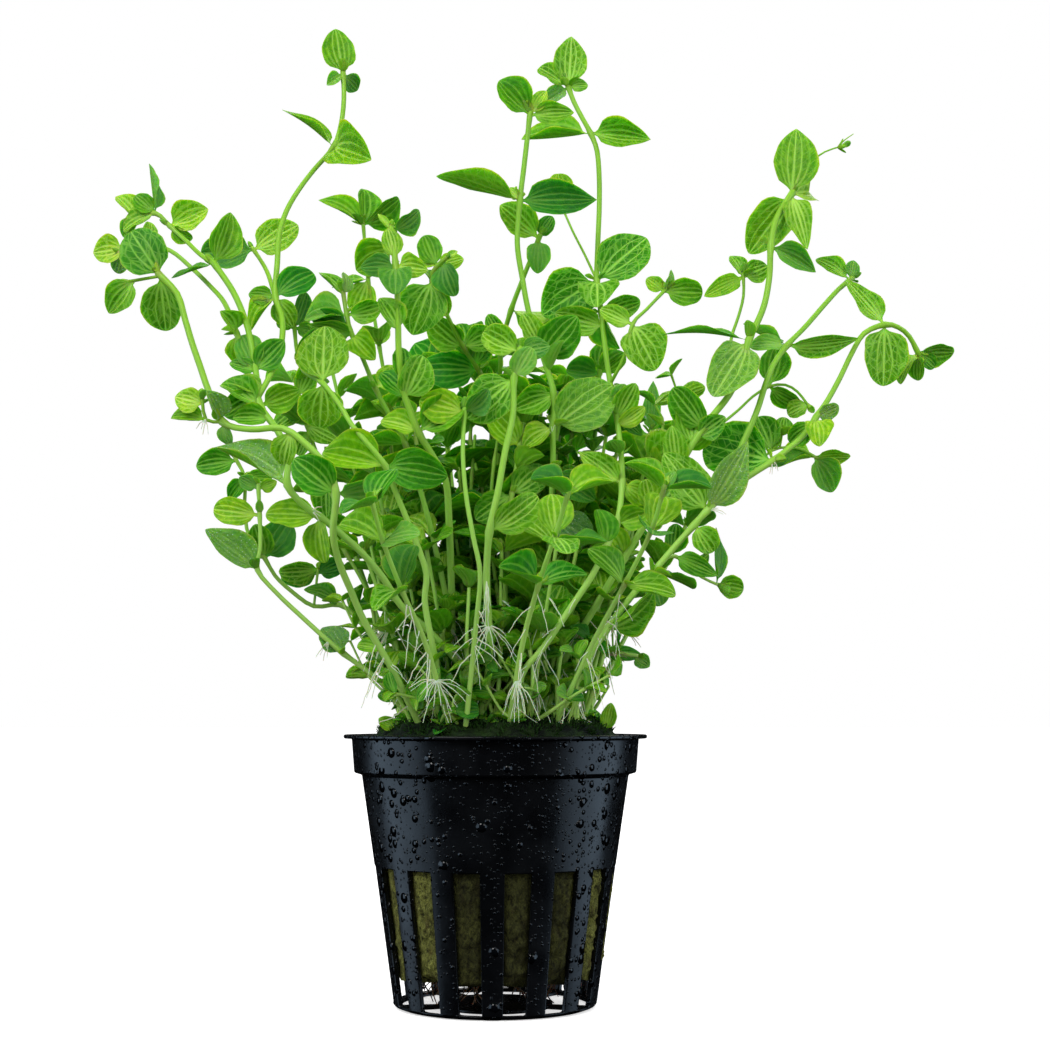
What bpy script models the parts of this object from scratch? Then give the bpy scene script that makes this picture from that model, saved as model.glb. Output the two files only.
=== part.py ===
"""Potted lindernia rotundifolia: a leafy aquarium plant rooted in a slotted black net pot.

Lengths are millimetres here and become Blender's metres when a mesh is made. The pot's axis is +Z, its
base stands on z = 0, and the plant's front faces -Y.
"""

import math
from collections import namedtuple

import bpy
from mathutils import Matrix, Vector
from mathutils.bvhtree import BVHTree

MM = 0.001
GAP = 0.3

# Driving sizes of the pot
POT_HEIGHT = 49.3
RIM_RADIUS = 28.0
RIM_THICKNESS = 0.7
MOUTH_RADIUS = 25.0
COLLAR_TOP_RADIUS = 26.5
COLLAR_FOOT_RADIUS = 26.0
COLLAR_FOOT_HEIGHT = 42.4
SHOULDER_HEIGHT = 42.0
SHOULDER_RADIUS = 24.6
SLOT_TOP_HEIGHT = 25.5
SLOT_TOP_RADIUS = 22.15
SLOT_FOOT_HEIGHT = 0.9
SLOT_FOOT_RADIUS = 18.7
ANKLE_HEIGHT = 0.45
ANKLE_RADIUS = 18.3
BASE_RADIUS = 17.1
WALL = 1.0
FLOOR = 0.7
FLOOR_DISC_RADIUS = 10.5
RIBS_PER_SPOKE = 3
SLOTS = 15
SLOT_ANGLE = 12.8
FIRST_SLOT = -13.4

# Driving sizes of the wool and the moss
WOOL_FOOT = 6.5
WOOL_MIDDLE = 24.0
WOOL_TOP = 45.8
WOOL_COLUMNS = 24
MOSS_FOOT = WOOL_TOP + GAP
MOSS_COLUMNS = 22
MOSS_PROFILE = ((23.8, 48.0), (22.2, 49.5), (19.8, 51.1), (16.0, 52.2), (9.0, 52.6))
MOSS_CROWN = 52.8
MOSS_FOOT_INSET = 0.5
MOSS_LUMP = 0.45
MOSS_LUMP_PHASE_PER_RING = 3.0
MOSS_LUMP_PHASE_PER_COLUMN = 2.4

# The eye that the shoots' stations were read from: their places are seen in the plane y = 0
VIEW_DISTANCE = 360.0
VIEW_HEIGHT = 53.45

# Leaves are closed lenses, thickest in the middle. Small ones and opposite pairs have fewer corners
LEAF_WIDTH = 0.78
LEAF_STATIONS = (0.28, 0.68)
SMALL_LEAF = 6.5
SMALL_LEAF_STATIONS = (0.42,)
LEAF_MIDDLE = 0.46
LEAF_HALF_THICKNESS = 0.24
LEAF_CUP = 0.26
LEAF_CURL = 0.10
LEAF_TIP_POWER = 0.8
LEAF_BASE_POWER = 0.5
LEAF_CLEAR_OF_STEM = 0.25
PETIOLE_SHARE = 0.08
PAIR_RISE = 28.0
CLEARANCE = 0.22
STEM_CLEARANCE = 0.25
FORK_STEP = 0.2
FOOT_GAP = 0.15
FOOT_STEP = 0.05
BUD_LENGTH = 0.7
LEAF_ROOT = 0.55
STEM_SIDES = 4
ABOVE_PLANT = 200.0
SHORT_AXIS = 0.2

# Plain inner shoots that fan out from the moss, each turned about the pot's axis until it is clear
FIRST_INNER = 38
INNER_SHOOTS = 14
INNER_THICK = 0.6
INNER_THIN = 0.42
INNER_FOOT_RADIUS = 16.5
INNER_SPREAD = 0.75
INNER_TOPS = (112.0, 99.0, 106.0)
INNER_FRONT = -6.0
INNER_FRONT_TOP = 82.0
INNER_STEP = 12.5
INNER_BARE = 67.0
INNER_LEAF = 9.2
INNER_LEAF_WIDTH = 0.82
INNER_PAIR_TURN = 80.0
INNER_TURN_STEP = 4.0
INNER_TURNS = 30
GOLDEN_ANGLE = 137.508

# A leaf that would cross another shoot is tilted or made smaller, in this order: degrees and scale
TRIALS = (
    (0, 1.0), (12, 1.0), (-12, 1.0), (24, 1.0), (-24, 1.0), (36, 1.0), (-36, 1.0),
    (0, 0.8), (18, 0.8), (-18, 0.8), (40, 0.8), (-40, 0.8),
    (0, 0.6), (30, 0.6), (-30, 0.6), (55, 0.7), (-55, 0.7),
)

Leaf = namedtuple("Leaf", "angle length width tilt roll")
Pair = namedtuple("Pair", "length turn width")
Station = namedtuple("Station", "point leaves")
Stem = namedtuple("Stem", "node thick thin start stations")
Pose = namedtuple("Pose", "base along up length width plain")


def along_sight(across, height, away):
    """The point at this depth that the eye sees at (across, height) in the plane y = 0."""
    share = 1 + away / VIEW_DISTANCE
    return Vector((across * share, away, VIEW_HEIGHT + (height - VIEW_HEIGHT) * share))


def leaf(angle, length, width=LEAF_WIDTH, tilt=0.0, roll=0.0):
    """A leaf as it is seen: its direction and length in the front view, its tilt to the eye, its roll."""
    return Leaf(angle, length, width, tilt, roll)


def pair(length, turn=0.0, width=LEAF_WIDTH):
    """Two opposite leaves, turned about the stem."""
    return Pair(length, turn, width)


def at(across, height, away, *leaves):
    """One station of a stem, with the leaves that grow there."""
    return Station(along_sight(across, height, away), leaves)


def stem(node, thick, thin, *stations, start="moss"):
    """A stem from its foot to its tip. It starts in the moss, at a fork, or inside its own shoot."""
    return Stem(node, thick, thin, start, stations)


STEMS = (
    # Main shoot of the left side, leaning forward and then out to the left
    stem(
        "shoot_01", 0.9, 0.75,
        at(-1.5, 54, -6), at(-6, 61, -12), at(-12, 68, -18), at(-17.5, 73, -23), at(-21, 78.3, -27),
        at(-25, 83, -30), at(-30, 87.5, -33),
        at(-33, 89.8, -34, leaf(174, 9.6, roll=35), leaf(272, 8.2, roll=30)),
        at(-36, 92, -35.5),
        at(-39, 95.7, -37, leaf(147, 16.6, width=0.62, roll=42)),
        at(-38.9, 101, -36), at(-41, 106, -34.5),
        at(-44.3, 110.7, -33, leaf(148, 8.2, roll=25), leaf(20, 7.5, roll=20)),
        at(-45, 116, -31), at(-46, 122, -29), at(-47.3, 127, -27), at(-49.7, 132.5, -24),
        at(-53.3, 137.8, -20, leaf(70, 10.2, roll=30), leaf(196, 7.8, tilt=15, roll=70)),
    ),
    # The tall shoot at the left, with the highest leaf
    stem(
        "shoot_02", 0.75, 0.6,
        at(-44.6, 112.5, -32.4), at(-42.3, 116.8, -30), at(-40.6, 121.5, -27), at(-40.3, 127, -24),
        at(
            -41.7, 131.5, -21,
            leaf(36, 8.2, roll=-20), leaf(174, 4.8), leaf(232, 7.4, roll=40), leaf(300, 6.2),
        ),
        at(-41.4, 138, -19), at(-41.1, 143.5, -17), at(-39.8, 148, -15), at(-37.6, 152, -13),
        at(-34.7, 156, -11),
        at(-31, 160.5, -9, leaf(334, 7.2, width=1.0, tilt=35), leaf(135, 11.8, roll=78)),
        at(-29.6, 165, -8), at(-29.1, 170, -7),
        at(-29.3, 174.8, -6, leaf(100, 8.9), leaf(213, 3.4), leaf(318, 4.2, width=0.9)),
        start="fork",
    ),
    stem(
        "shoot_02", 0.6, 0.5,
        at(-41.7, 131.5, -21), at(-43.4, 136.5, -16),
        at(-45.9, 140.5, -12, leaf(182, 9.9, width=0.68), leaf(32, 9.4, width=0.8)),
        start="inside",
    ),
    # Far left shoot, coming forward from the bush
    stem(
        "shoot_03", 0.85, 0.75,
        at(-14, 54, -14), at(-19, 61, -20), at(-24.3, 70, -26), at(-27, 76, -30),
        at(-29.3, 81.5, -34), at(-30.4, 87, -38),
        at(-29.9, 94, -40, leaf(140, 9.7), leaf(6, 9.6, roll=40)),
        at(-31.6, 99, -40), at(-35.5, 103.3, -39.5), at(-40, 106.4, -38.5), at(-46, 106.2, -36),
        at(-51.3, 107.6, -33, leaf(113, 10.4, roll=35), leaf(285, 4.6, roll=30)),
        at(-54, 113.5, -31.5), at(-55.6, 118, -30.5), at(-57.2, 122.5, -29.5), at(-58.6, 127, -28.5),
        at(-60.2, 132, -27.5),
        at(-63.4, 135.4, -26.5, leaf(124, 10.4, width=0.88), leaf(272, 10.4, width=0.76)),
    ),
    stem(
        "shoot_03", 0.4, 0.35,
        at(-63.4, 135.4, -26.5), at(-68.3, 134.5, -25.5, leaf(232, 7.6, width=0.74)),
        start="inside",
    ),
    stem(
        "shoot_03", 0.4, 0.35,
        at(-51.3, 107.6, -33), at(-54.4, 108, -33.5, leaf(172, 6.4, roll=35)),
        at(-55, 111, -34, leaf(165, 5.4, width=0.95)),
        start="inside",
    ),
    # Two thin shoots in the upper left, behind the far left one
    stem(
        "shoot_04", 0.65, 0.55,
        at(-46.7, 119.5, -28.6), at(-48.9, 124.5, -26, leaf(117, 8, roll=45), leaf(280, 6, roll=30)),
        at(-51.2, 130.2, -22.5), at(-54.2, 133.7, -19), at(-57.6, 137, -16), at(-61.5, 140.2, -14),
        at(-66, 141.6, -12.5, leaf(85, 4, roll=30)),
        at(-70.2, 140.6, -11.5, leaf(185, 5.9, width=0.95), leaf(250, 4.6)),
        start="fork",
    ),
    stem(
        "shoot_05", 0.65, 0.55,
        at(-53.3, 137.8, -20), at(-56, 139.6, -14), at(-58.7, 142.2, -10),
        at(-61.8, 145, -8, leaf(28, 7.6, width=0.9), leaf(330, 4.5, roll=30)),
        at(
            -64.6, 147.5, -7,
            leaf(89, 9.4, roll=76), leaf(138, 5, width=0.75), leaf(205, 6.6, roll=40),
        ),
        at(-68.2, 146.5, -5, leaf(128, 5.6, roll=40), leaf(235, 4)),
        start="fork",
    ),
    # Two low shoots that hang out to the left
    stem(
        "shoot_06", 0.75, 0.5,
        at(-15, 54, -3), at(-19.3, 56.6, -6), at(-22.5, 60, -8),
        at(-28.2, 64.2, -9.5, leaf(128, 6.6, width=0.9, roll=15)),
        at(-31, 66.5, -11), at(-36, 71, -12), at(-40.7, 75.4, -13),
        at(-44.4, 79.8, -14, leaf(139, 11.8, width=0.7, roll=30)),
        at(-43.9, 84, -13.5), at(-44.1, 90, -12.5, leaf(172, 8.6, width=0.62)),
        at(-44.4, 95, -12, leaf(20, 3.4, roll=30), leaf(150, 4)),
    ),
    stem(
        "shoot_07", 0.65, 0.45,
        at(-11.5, 54, 4), at(-17, 60, 5), at(-22, 66, 5), at(-26, 71, 4.5),
        at(-29, 73.3, 4, leaf(150, 7, roll=50)), at(-33.8, 73, 3), at(-38, 75.8, 1),
        at(-41.1, 78.7, -1), at(-43, 81.9, -3, leaf(58, 8, width=0.9), leaf(105, 7, width=0.8)),
        at(-46, 86, -4), at(-46.9, 91, -4.5),
        at(-47, 97, -4.5, leaf(0, 4.8, width=0.75), leaf(238, 4.8, width=0.7)),
        at(-48.6, 100.3, -4.5, leaf(188, 7.4, width=0.72)),
    ),
    stem(
        "shoot_07", 0.35, 0.3,
        at(-33.8, 73, 3), at(-33.2, 79.2, 4, leaf(188, 6.8, width=0.72), leaf(20, 5)),
        start="inside",
    ),
    # Arching shoot with the round striped leaf in the middle left
    stem(
        "shoot_08", 0.85, 0.5,
        at(-10.8, 54, -14), at(-10.8, 60.5, -18.5), at(-12, 67, -22), at(-13.2, 74, -23.5),
        at(-12.9, 79, -24.5), at(-14.6, 84.3, -26), at(-16.7, 89.5, -27.5), at(-19, 95, -29),
        at(-20.7, 99.3, -31, leaf(163, 13, width=0.66, roll=15), leaf(352, 11.4, width=0.7)),
        at(-24, 103.5, -32), at(-27, 107, -31), at(-29.3, 110.8, -29),
        at(-32.6, 115, -26, leaf(89, 10.8, width=0.95), leaf(264, 7.8, width=1.05, tilt=20)),
        at(-36.3, 117.4, -22), at(-37.5, 121, -19),
        at(-38, 125.5, -17, leaf(70, 7, roll=50), leaf(160, 3.4), leaf(350, 4)),
    ),
    # Straight shoot that crosses the arch
    stem(
        "shoot_09", 0.8, 0.5,
        at(-5, 54, -2), at(-7, 64, -6), at(-9.5, 76, -9), at(-12, 87, -12), at(-14.5, 96, -15),
        at(-17, 103.5, -18, pair(7.5, 10)), at(-20, 109, -20), at(-22.7, 114, -21, leaf(40, 6)),
        at(-25, 119.5, -21.5), at(-27.2, 124.3, -21.5, leaf(312, 6.6)),
        at(-28.2, 128, -21, leaf(181, 7.8, roll=35), leaf(14, 6.4, width=0.7, roll=20)),
        at(-28.8, 131.8, -20, leaf(132, 6.2, roll=55), leaf(84, 4.2, roll=62)),
    ),
    # Pale thick shoot in front, left of the middle
    stem(
        "shoot_10", 0.95, 0.7,
        at(-7, 54, -7), at(-8, 66, -9), at(-8.3, 78, -13), at(-8.7, 88, -18), at(-9.4, 96.5, -22),
        at(-12, 101.5, -25),
        at(-14.6, 105.8, -27, leaf(36, 10.4, width=0.68), leaf(158, 7, roll=30)),
        at(-16, 109.5, -28), at(-17.6, 114, -29), at(-18.3, 120, -30), at(-18.5, 127, -30),
        at(-18.7, 133, -30),
        at(
            -19, 137.4, -29,
            leaf(272, 5.4, width=0.9, tilt=42), leaf(350, 5.4, width=0.85, tilt=25), leaf(186, 6, tilt=20),
        ),
        at(-19.4, 141, -28, leaf(205, 8.2, width=0.85, tilt=-15)),
        at(-19.8, 144.2, -27, leaf(125, 4, roll=20), leaf(34, 6.2, roll=52)),
    ),
    # Thin shoot left of the middle, behind the pale one
    stem(
        "shoot_11", 0.7, 0.45,
        at(-13, 54, 7), at(-14.5, 66, 13), at(-16, 80, 18, pair(8, 0)), at(-17.5, 94, 22, pair(8.5, 90)),
        at(-19.5, 108, 24, pair(8.5, 10)), at(-22, 122, 24, pair(8, 95)),
        at(-24.2, 135, 22, leaf(250, 7, tilt=-10), leaf(186, 6.8, roll=62)),
        at(
            -25.2, 145.3, 20,
            leaf(144, 9.8, width=0.7, roll=35), leaf(86, 7, roll=38), leaf(33, 8.3, roll=62),
        ),
    ),
    # Shoot in the middle with the double leaf above the bush
    stem(
        "shoot_12", 0.75, 0.5,
        at(0.5, 54, 12), at(0, 66, 14), at(-0.5, 80, 15, pair(8, 20)), at(0, 94, 15, pair(8.5, 110)),
        at(0.5, 106, 13, pair(8, 30)), at(-1.2, 113.5, 10), at(-3.3, 117.5, 7, leaf(178, 11, width=0.68)),
        at(-6.2, 122, 3, leaf(20, 7, width=0.8)), at(-8.9, 127.3, -2),
        at(-12.2, 134.6, -8, leaf(250, 10.4, width=0.9), leaf(292, 7, roll=30)),
        at(-11.2, 137.4, -9, leaf(112, 6.4, width=0.76), leaf(150, 4.6, roll=20), leaf(18, 5, width=0.8)),
        at(-9.9, 138.6, -10, leaf(282, 7, roll=35)),
    ),
    # The left one of the two tall shoots right of the middle
    stem(
        "shoot_13", 0.8, 0.65,
        at(6, 54, 2), at(8, 70, -4), at(9.6, 80, -7, leaf(150, 7, tilt=20)),
        at(10.2, 90, -10, leaf(200, 8, tilt=15), leaf(330, 8.5)),
        at(10.7, 98, -11.5, leaf(328, 9, width=0.6)),
        at(10.7, 106.8, -12, leaf(36, 13.6, width=0.76), leaf(214, 6.4, roll=25)),
        at(10.9, 113, -11, leaf(200, 7.5)),
        at(9.4, 118.5, -10), at(7.7, 123.5, -9), at(6.1, 129, -8), at(5, 135, -7), at(4, 142, -6),
        at(
            4.5, 150.2, -5,
            leaf(154.5, 16, width=0.62, roll=58), leaf(4, 14.4, width=0.62, roll=56), leaf(130, 2.8),
        ),
        at(5.3, 157, -4),
        at(6.4, 166.9, -3, leaf(130, 8.9, width=0.84), leaf(57, 5.6, width=0.55), leaf(2, 8, width=0.62)),
    ),
    # Its small neighbour, whose stem crosses it
    stem(
        "shoot_14", 0.7, 0.6,
        at(-4.5, 54, 20), at(-4, 68, 23), at(-3, 84, 23, pair(8.5, 40)), at(-1.5, 100, 20, pair(8.5, 130)),
        at(0.5, 112, 16, leaf(180, 8)), at(0.8, 118, 13), at(1.2, 123, 11),
        at(2.8, 129, 8, leaf(352, 9, roll=76)),
        at(4.9, 134.7, 5), at(7, 140, 3),
        at(8.1, 142.9, 2, leaf(138, 9.6, width=0.72), leaf(60, 4.9, width=0.68), leaf(268, 6.2, width=0.9)),
    ),
    # The right one, with the big round leaf
    stem(
        "shoot_15", 0.8, 0.7,
        at(4.2, 54, -16), at(4.8, 60, -18), at(9, 65.5, -20), at(15.5, 75, -22), at(18.3, 79.3, -22),
        at(20.5, 84, -21, leaf(100, 7, roll=25)), at(22.7, 88.5, -19, leaf(20, 5.6, width=0.9, tilt=10)),
        at(23.7, 96, -16, leaf(142, 9.8, width=0.55), leaf(330, 6)), at(23.4, 103, -13),
        at(22.5, 110, -10, leaf(70, 5), leaf(318, 6.5, width=0.5)), at(21.4, 116, -7), at(20.6, 122, -4),
        at(19.9, 128.7, -1, leaf(293, 7.4, roll=48)),
        at(
            19.1, 134.8, 2,
            leaf(42, 12.6, width=0.88), leaf(211, 11.6, width=0.92, tilt=10),
            leaf(268, 7.6, width=0.95, tilt=25),
        ),
        at(19.3, 142, 4), at(19.6, 149, 6), at(19.6, 155, 8), at(19.2, 160, 10),
        at(18, 163.4, 11, leaf(178.5, 12.8, width=0.55, roll=56), leaf(356, 11.2, width=0.66)),
        at(16.3, 166.6, 13), at(14.8, 169.6, 14),
        at(
            13.8, 172.4, 15,
            leaf(86.5, 10.2, width=0.72), leaf(140, 6.6, roll=35), leaf(212, 5, width=0.7),
            leaf(8, 3.4, width=0.9),
        ),
    ),
    stem(
        "shoot_15", 0.35, 0.3,
        at(19.1, 134.8, 2), at(16.7, 140, 3.5), at(14.5, 144.4, 5), at(12.4, 149.3, 6.5, leaf(95, 6.4)),
        start="inside",
    ),
    # Side shoot right of the middle
    stem(
        "shoot_16", 0.5, 0.4,
        at(21.5, 115, -7.3), at(22.9, 117.5, -9.5), at(24.3, 120.5, -10.5),
        at(25.8, 126.4, -10, leaf(154, 6.6, width=0.66), leaf(296, 9.4, width=0.92, tilt=10)),
        at(28.5, 129.3, -8),
        at(31.8, 132.8, -6, leaf(359, 7.2, width=0.74), leaf(142, 3.9, width=0.85), leaf(62, 4.2, roll=55)),
        start="fork",
    ),
    # The tall shoot at the right
    stem(
        "shoot_17", 0.85, 0.8,
        at(8.5, 54, -4), at(12.8, 63, -8), at(18, 72, -11.5), at(24, 82, -14.5, leaf(120, 7)),
        at(29.5, 91, -17, leaf(48, 10.5, width=0.5), leaf(104, 5.6, width=0.85)),
        at(34, 98.5, -18, leaf(96, 8, width=0.6)), at(37, 103.6, -18), at(40.3, 108.3, -18),
        at(44, 113, -17), at(46.4, 118, -16),
        at(47.8, 123.4, -15, leaf(237.5, 13.9, width=0.64), leaf(168, 16, width=0.6, roll=76)),
        at(49.3, 126.5, -14), at(50.9, 130.5, -13), at(51.9, 136, -12),
        at(52.2, 141.5, -11, leaf(336, 9.9, width=0.62, tilt=-12)),
        at(53.4, 147, -9.5),
        at(
            56.2, 151.5, -8,
            leaf(84, 13, width=0.7), leaf(26, 6.4, width=1.0, tilt=-20),
            leaf(234, 13, width=0.62, tilt=8), leaf(282, 10.4, width=0.66, tilt=25),
        ),
    ),
    stem(
        "shoot_17", 0.3, 0.22,
        at(56.2, 151.5, -8), at(58.6, 155.8, -7.4), at(60.6, 158.3, -7), at(62.8, 160, -6.6),
        at(65.4, 160.9, -6.2),
        start="inside",
    ),
    # Thin shoot beside it
    stem(
        "shoot_18", 0.45, 0.35,
        at(45.4, 115.8, -16.4), at(44.3, 119.5, -11.5), at(44.5, 123.8, -9), at(45.9, 128, -8),
        at(46.9, 132, -8),
        at(46.9, 135.6, -8, leaf(206, 8, width=0.62), leaf(118, 4.6, roll=30), leaf(25, 5, width=0.95)),
        start="fork",
    ),
    # The long right shoot that arches over at its end
    stem(
        "shoot_19", 0.85, 0.65,
        at(14, 54, -11), at(16.5, 61.5, -14), at(20.5, 68.5, -16, leaf(36, 11.5, roll=62)),
        at(26, 75.7, -18), at(29, 79, -18.5, leaf(290, 6, width=0.8)), at(34, 84.8, -19),
        at(37.2, 88.3, -19.5, leaf(305, 5.8, width=0.9)),
        at(39.6, 91, -20, leaf(127, 12.8, width=0.66, tilt=10), leaf(56, 14.2, width=0.6, tilt=14, roll=25)),
        at(44.5, 95.4, -19), at(48.3, 98, -18),
        at(52, 100.4, -17, leaf(160, 12.8, width=0.72, tilt=-28)),
        at(55.4, 103, -16), at(58, 105.3, -15),
        at(
            60.3, 108.7, -14,
            leaf(24, 4.6, roll=35), leaf(212, 4.4, width=0.95), leaf(271, 6.4, width=0.82, tilt=15),
        ),
        at(62.6, 112, -13), at(65, 116.3, -12), at(67.3, 121, -11), at(69.7, 124.8, -10),
        at(73.6, 126.5, -9, leaf(127, 11, width=0.6, roll=25), leaf(269, 11.2, width=0.78)),
        at(76.2, 126, -8), at(78.3, 124.2, -7),
        at(
            79.8, 121.2, -6,
            leaf(357, 6.7, roll=52), leaf(234, 6.4, roll=50), leaf(266, 5, roll=52), leaf(318, 4),
        ),
    ),
    # The straight pale stem that leaves it for the upper right
    stem(
        "shoot_20", 0.8, 0.65,
        at(39.6, 91, -20), at(42.3, 96.2, -17.5), at(45.3, 101.3, -17), at(46.8, 104.5, -17),
        at(48.2, 107.5, -17), at(49.6, 111, -16.5), at(50.7, 114.5, -16), at(52.4, 118.7, -15),
        at(
            55, 122.4, -13,
            leaf(2, 13.6, width=0.6, roll=42), leaf(178, 6.6, width=0.6, roll=30), leaf(136, 11, roll=76),
        ),
        at(58.5, 126, -11), at(62, 130, -9), at(65, 133.3, -7),
        at(67.2, 135.1, -6, leaf(145, 7.2, roll=35), leaf(78, 3.6)),
        start="fork",
    ),
    # Thin arching twigs at the right
    stem(
        "shoot_21", 0.4, 0.35,
        at(38.8, 106, -18), at(42, 107.2, -10.5), at(45.6, 110, -8), at(48.5, 112.7, -7),
        at(51.6, 114.6, -6.5, leaf(78, 7.8, width=0.78), leaf(322, 6.8, roll=50)),
        at(54.6, 114.9, -6.5), at(56.9, 113.6, -7), at(58.3, 111.8, -7.5),
        start="fork",
    ),
    stem(
        "shoot_22", 0.4, 0.35,
        at(48.3, 98, -18), at(50.6, 101.4, -12), at(53.4, 102.9, -11), at(57, 102.8, -10.5),
        at(60, 101.2, -10, leaf(358, 6.6, roll=45), leaf(187, 7, roll=55), leaf(298, 7.2, width=0.8)),
        start="fork",
    ),
    stem(
        "shoot_22", 0.3, 0.25,
        at(53.4, 102.9, -11), at(53.8, 105.2, -10.5, leaf(80, 3.5, width=1.0)),
        start="inside",
    ),
    # Low twig at the right with the upright leaf
    stem(
        "shoot_23", 0.45, 0.35,
        at(31.6, 82, -18.8), at(33.6, 82.4, -14, leaf(335, 8.2, width=0.5, tilt=10)),
        at(36, 80.9, -12.5, leaf(24, 4.2, roll=60)), at(38.3, 78.6, -12),
        at(41.3, 77.2, -11.5, leaf(84, 10.4, roll=64), leaf(350, 5, width=0.9)),
        start="fork",
    ),
    # Small broken twig near the rim at the right
    stem(
        "shoot_24", 0.5, 0.4,
        at(12.5, 54, 1), at(15, 58.5, 2), at(18, 62.8, 3, leaf(60, 5)), at(22, 64.3, 3),
        at(25.7, 63.9, 3, leaf(325, 3.4, width=0.9)),
    ),
    # Pale central stems
    stem(
        "shoot_25", 0.95, 0.7,
        at(-3, 54, -13), at(-1.4, 60, -16), at(-1.2, 68, -20), at(-1.7, 78, -24),
        at(-1.2, 87, -27, leaf(33, 11, width=0.6, roll=25)), at(0.3, 94, -28), at(1.7, 102, -28),
        at(3.2, 109, -27),
        at(3.4, 116, -26, leaf(222, 11.4, width=0.76), leaf(60, 6, tilt=15)),
        at(4.4, 121, -25, leaf(150, 7.5, width=0.8), leaf(12, 5.5, width=0.9)),
    ),
    stem(
        "shoot_26", 0.65, 0.5,
        at(-5.5, 54, -20), at(-3.6, 70, -27), at(-2.9, 79, -30), at(-4.2, 86, -31), at(-5.6, 94, -31),
        at(-6.2, 102, -30), at(-5.9, 109.5, -28, leaf(166, 8.4, width=0.8), leaf(40, 6, roll=30)),
    ),
    stem(
        "shoot_27", 0.7, 0.5,
        at(3, 54, -5), at(2.4, 64, -6), at(1.8, 74, -8), at(2.2, 84, -9, leaf(160, 7)),
        at(3, 94, -10, leaf(40, 8), leaf(215, 8)), at(4.5, 103, -9, leaf(130, 8)),
        at(5.4, 111, -7, leaf(20, 6)),
    ),
    # Dense inner shoots, leaning back and forward
    stem(
        "shoot_28", 0.75, 0.5,
        at(-8, 54, 12), at(-14, 68, 23), at(-20, 82, 32, pair(8.5, 0)), at(-25, 96, 40, pair(9, 90)),
        at(-28.5, 108, 45, pair(8.5, 20)), at(-31, 118, 48, pair(7.5, 100)),
    ),
    stem(
        "shoot_29", 0.75, 0.5,
        at(-1, 54, 17), at(-4, 70, 30), at(-7, 87, 41, pair(9, 45)), at(-9, 103, 48, pair(9, 135)),
        at(-10, 116, 52, pair(8, 50)),
    ),
    stem(
        "shoot_30", 0.75, 0.5,
        at(5, 54, 16), at(9, 70, 28), at(13, 87, 38, pair(9, 15)), at(15, 102, 45, pair(9, 105)),
        at(14, 115, 49, pair(8, 20)),
    ),
    stem(
        "shoot_31", 0.75, 0.5,
        at(11, 54, 10), at(18, 68, 20), at(23.5, 82, 29, pair(9, 70)), at(27, 95, 35, pair(9, 160)),
        at(29, 105.5, 38, leaf(86, 10, width=0.5), leaf(350, 7), leaf(200, 7)),
    ),
    stem(
        "shoot_32", 0.65, 0.45,
        at(16, 54, 3), at(24, 67, 9), at(31, 79, 14, pair(8, 30)), at(35.5, 88, 18, pair(7, 120)),
    ),
    stem(
        "shoot_33", 0.7, 0.5,
        at(-15, 54, 8), at(-21, 68, 13), at(-26, 82, 17, pair(8.5, 60)), at(-31, 95, 20, pair(8.5, 150)),
        at(-35.5, 107, 22, pair(8.5, 70)), at(-37.5, 115, 23, pair(7.5, 150)),
    ),
    stem(
        "shoot_34", 0.7, 0.5,
        at(8.5, 54, 9), at(11.5, 70, 13), at(14.5, 83, 15, pair(8.5, 25)),
        at(16.5, 91, 15, leaf(35, 11, width=0.55)), at(17.5, 98, 15, pair(8.5, 115)),
        at(19, 108, 14, pair(8, 30)), at(19.5, 117, 12, leaf(172, 6, width=0.9), leaf(40, 6)),
    ),
    stem(
        "shoot_35", 0.7, 0.5,
        at(2.5, 54, -18), at(5, 66, -28), at(8, 77, -37, pair(8, 20)), at(11, 86, -44, pair(8, 110)),
        at(13.5, 94, -49, pair(7.5, 30)),
    ),
    stem(
        "shoot_36", 0.7, 0.5,
        at(-8.5, 54, -17), at(-13, 66, -28), at(-17.5, 76, -37, pair(8, 50)),
        at(-21, 85, -44, pair(8, 140)), at(-23, 92, -48, pair(7.5, 50)),
    ),
    stem(
        "shoot_37", 0.7, 0.5,
        at(11, 54, -14), at(18, 66, -24), at(24, 77, -32, pair(8.5, 0)), at(29, 87, -38, pair(8.5, 90)),
        at(31.5, 95, -42, pair(7.5, 0)),
    ),
)


def inner_shoot(number, turned):
    """A plain shoot of the inner bush, turned by so many degrees from its place at the golden angle."""
    turn = math.radians(number * GOLDEN_ANGLE + turned)
    radius = INNER_FOOT_RADIUS * math.sqrt((number + 0.5) / INNER_SHOOTS)
    foot = Vector((radius * math.cos(turn), radius * math.sin(turn), MOSS_CROWN))
    top = INNER_FRONT_TOP if foot.y < INNER_FRONT else INNER_TOPS[number % len(INNER_TOPS)]
    steps = round((top - MOSS_CROWN) / INNER_STEP)
    stations = [Station(foot, ())]
    for step in range(1, steps + 1):
        share = step / steps
        point = foot * (1 + INNER_SPREAD * share)
        point.z = MOSS_CROWN + (top - MOSS_CROWN) * share
        leaves = (pair(INNER_LEAF, INNER_PAIR_TURN * step, INNER_LEAF_WIDTH),) if point.z > INNER_BARE else ()
        stations.append(Station(point, leaves))
    return Stem(f"shoot_{FIRST_INNER + number}", INNER_THICK, INNER_THIN, "moss", tuple(stations))


def inner_turns():
    """The turns to try, to one side and the other by growing steps."""
    for step in range(INNER_TURNS):
        yield INNER_TURN_STEP * (step // 2 + step % 2) * (-1) ** step


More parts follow.
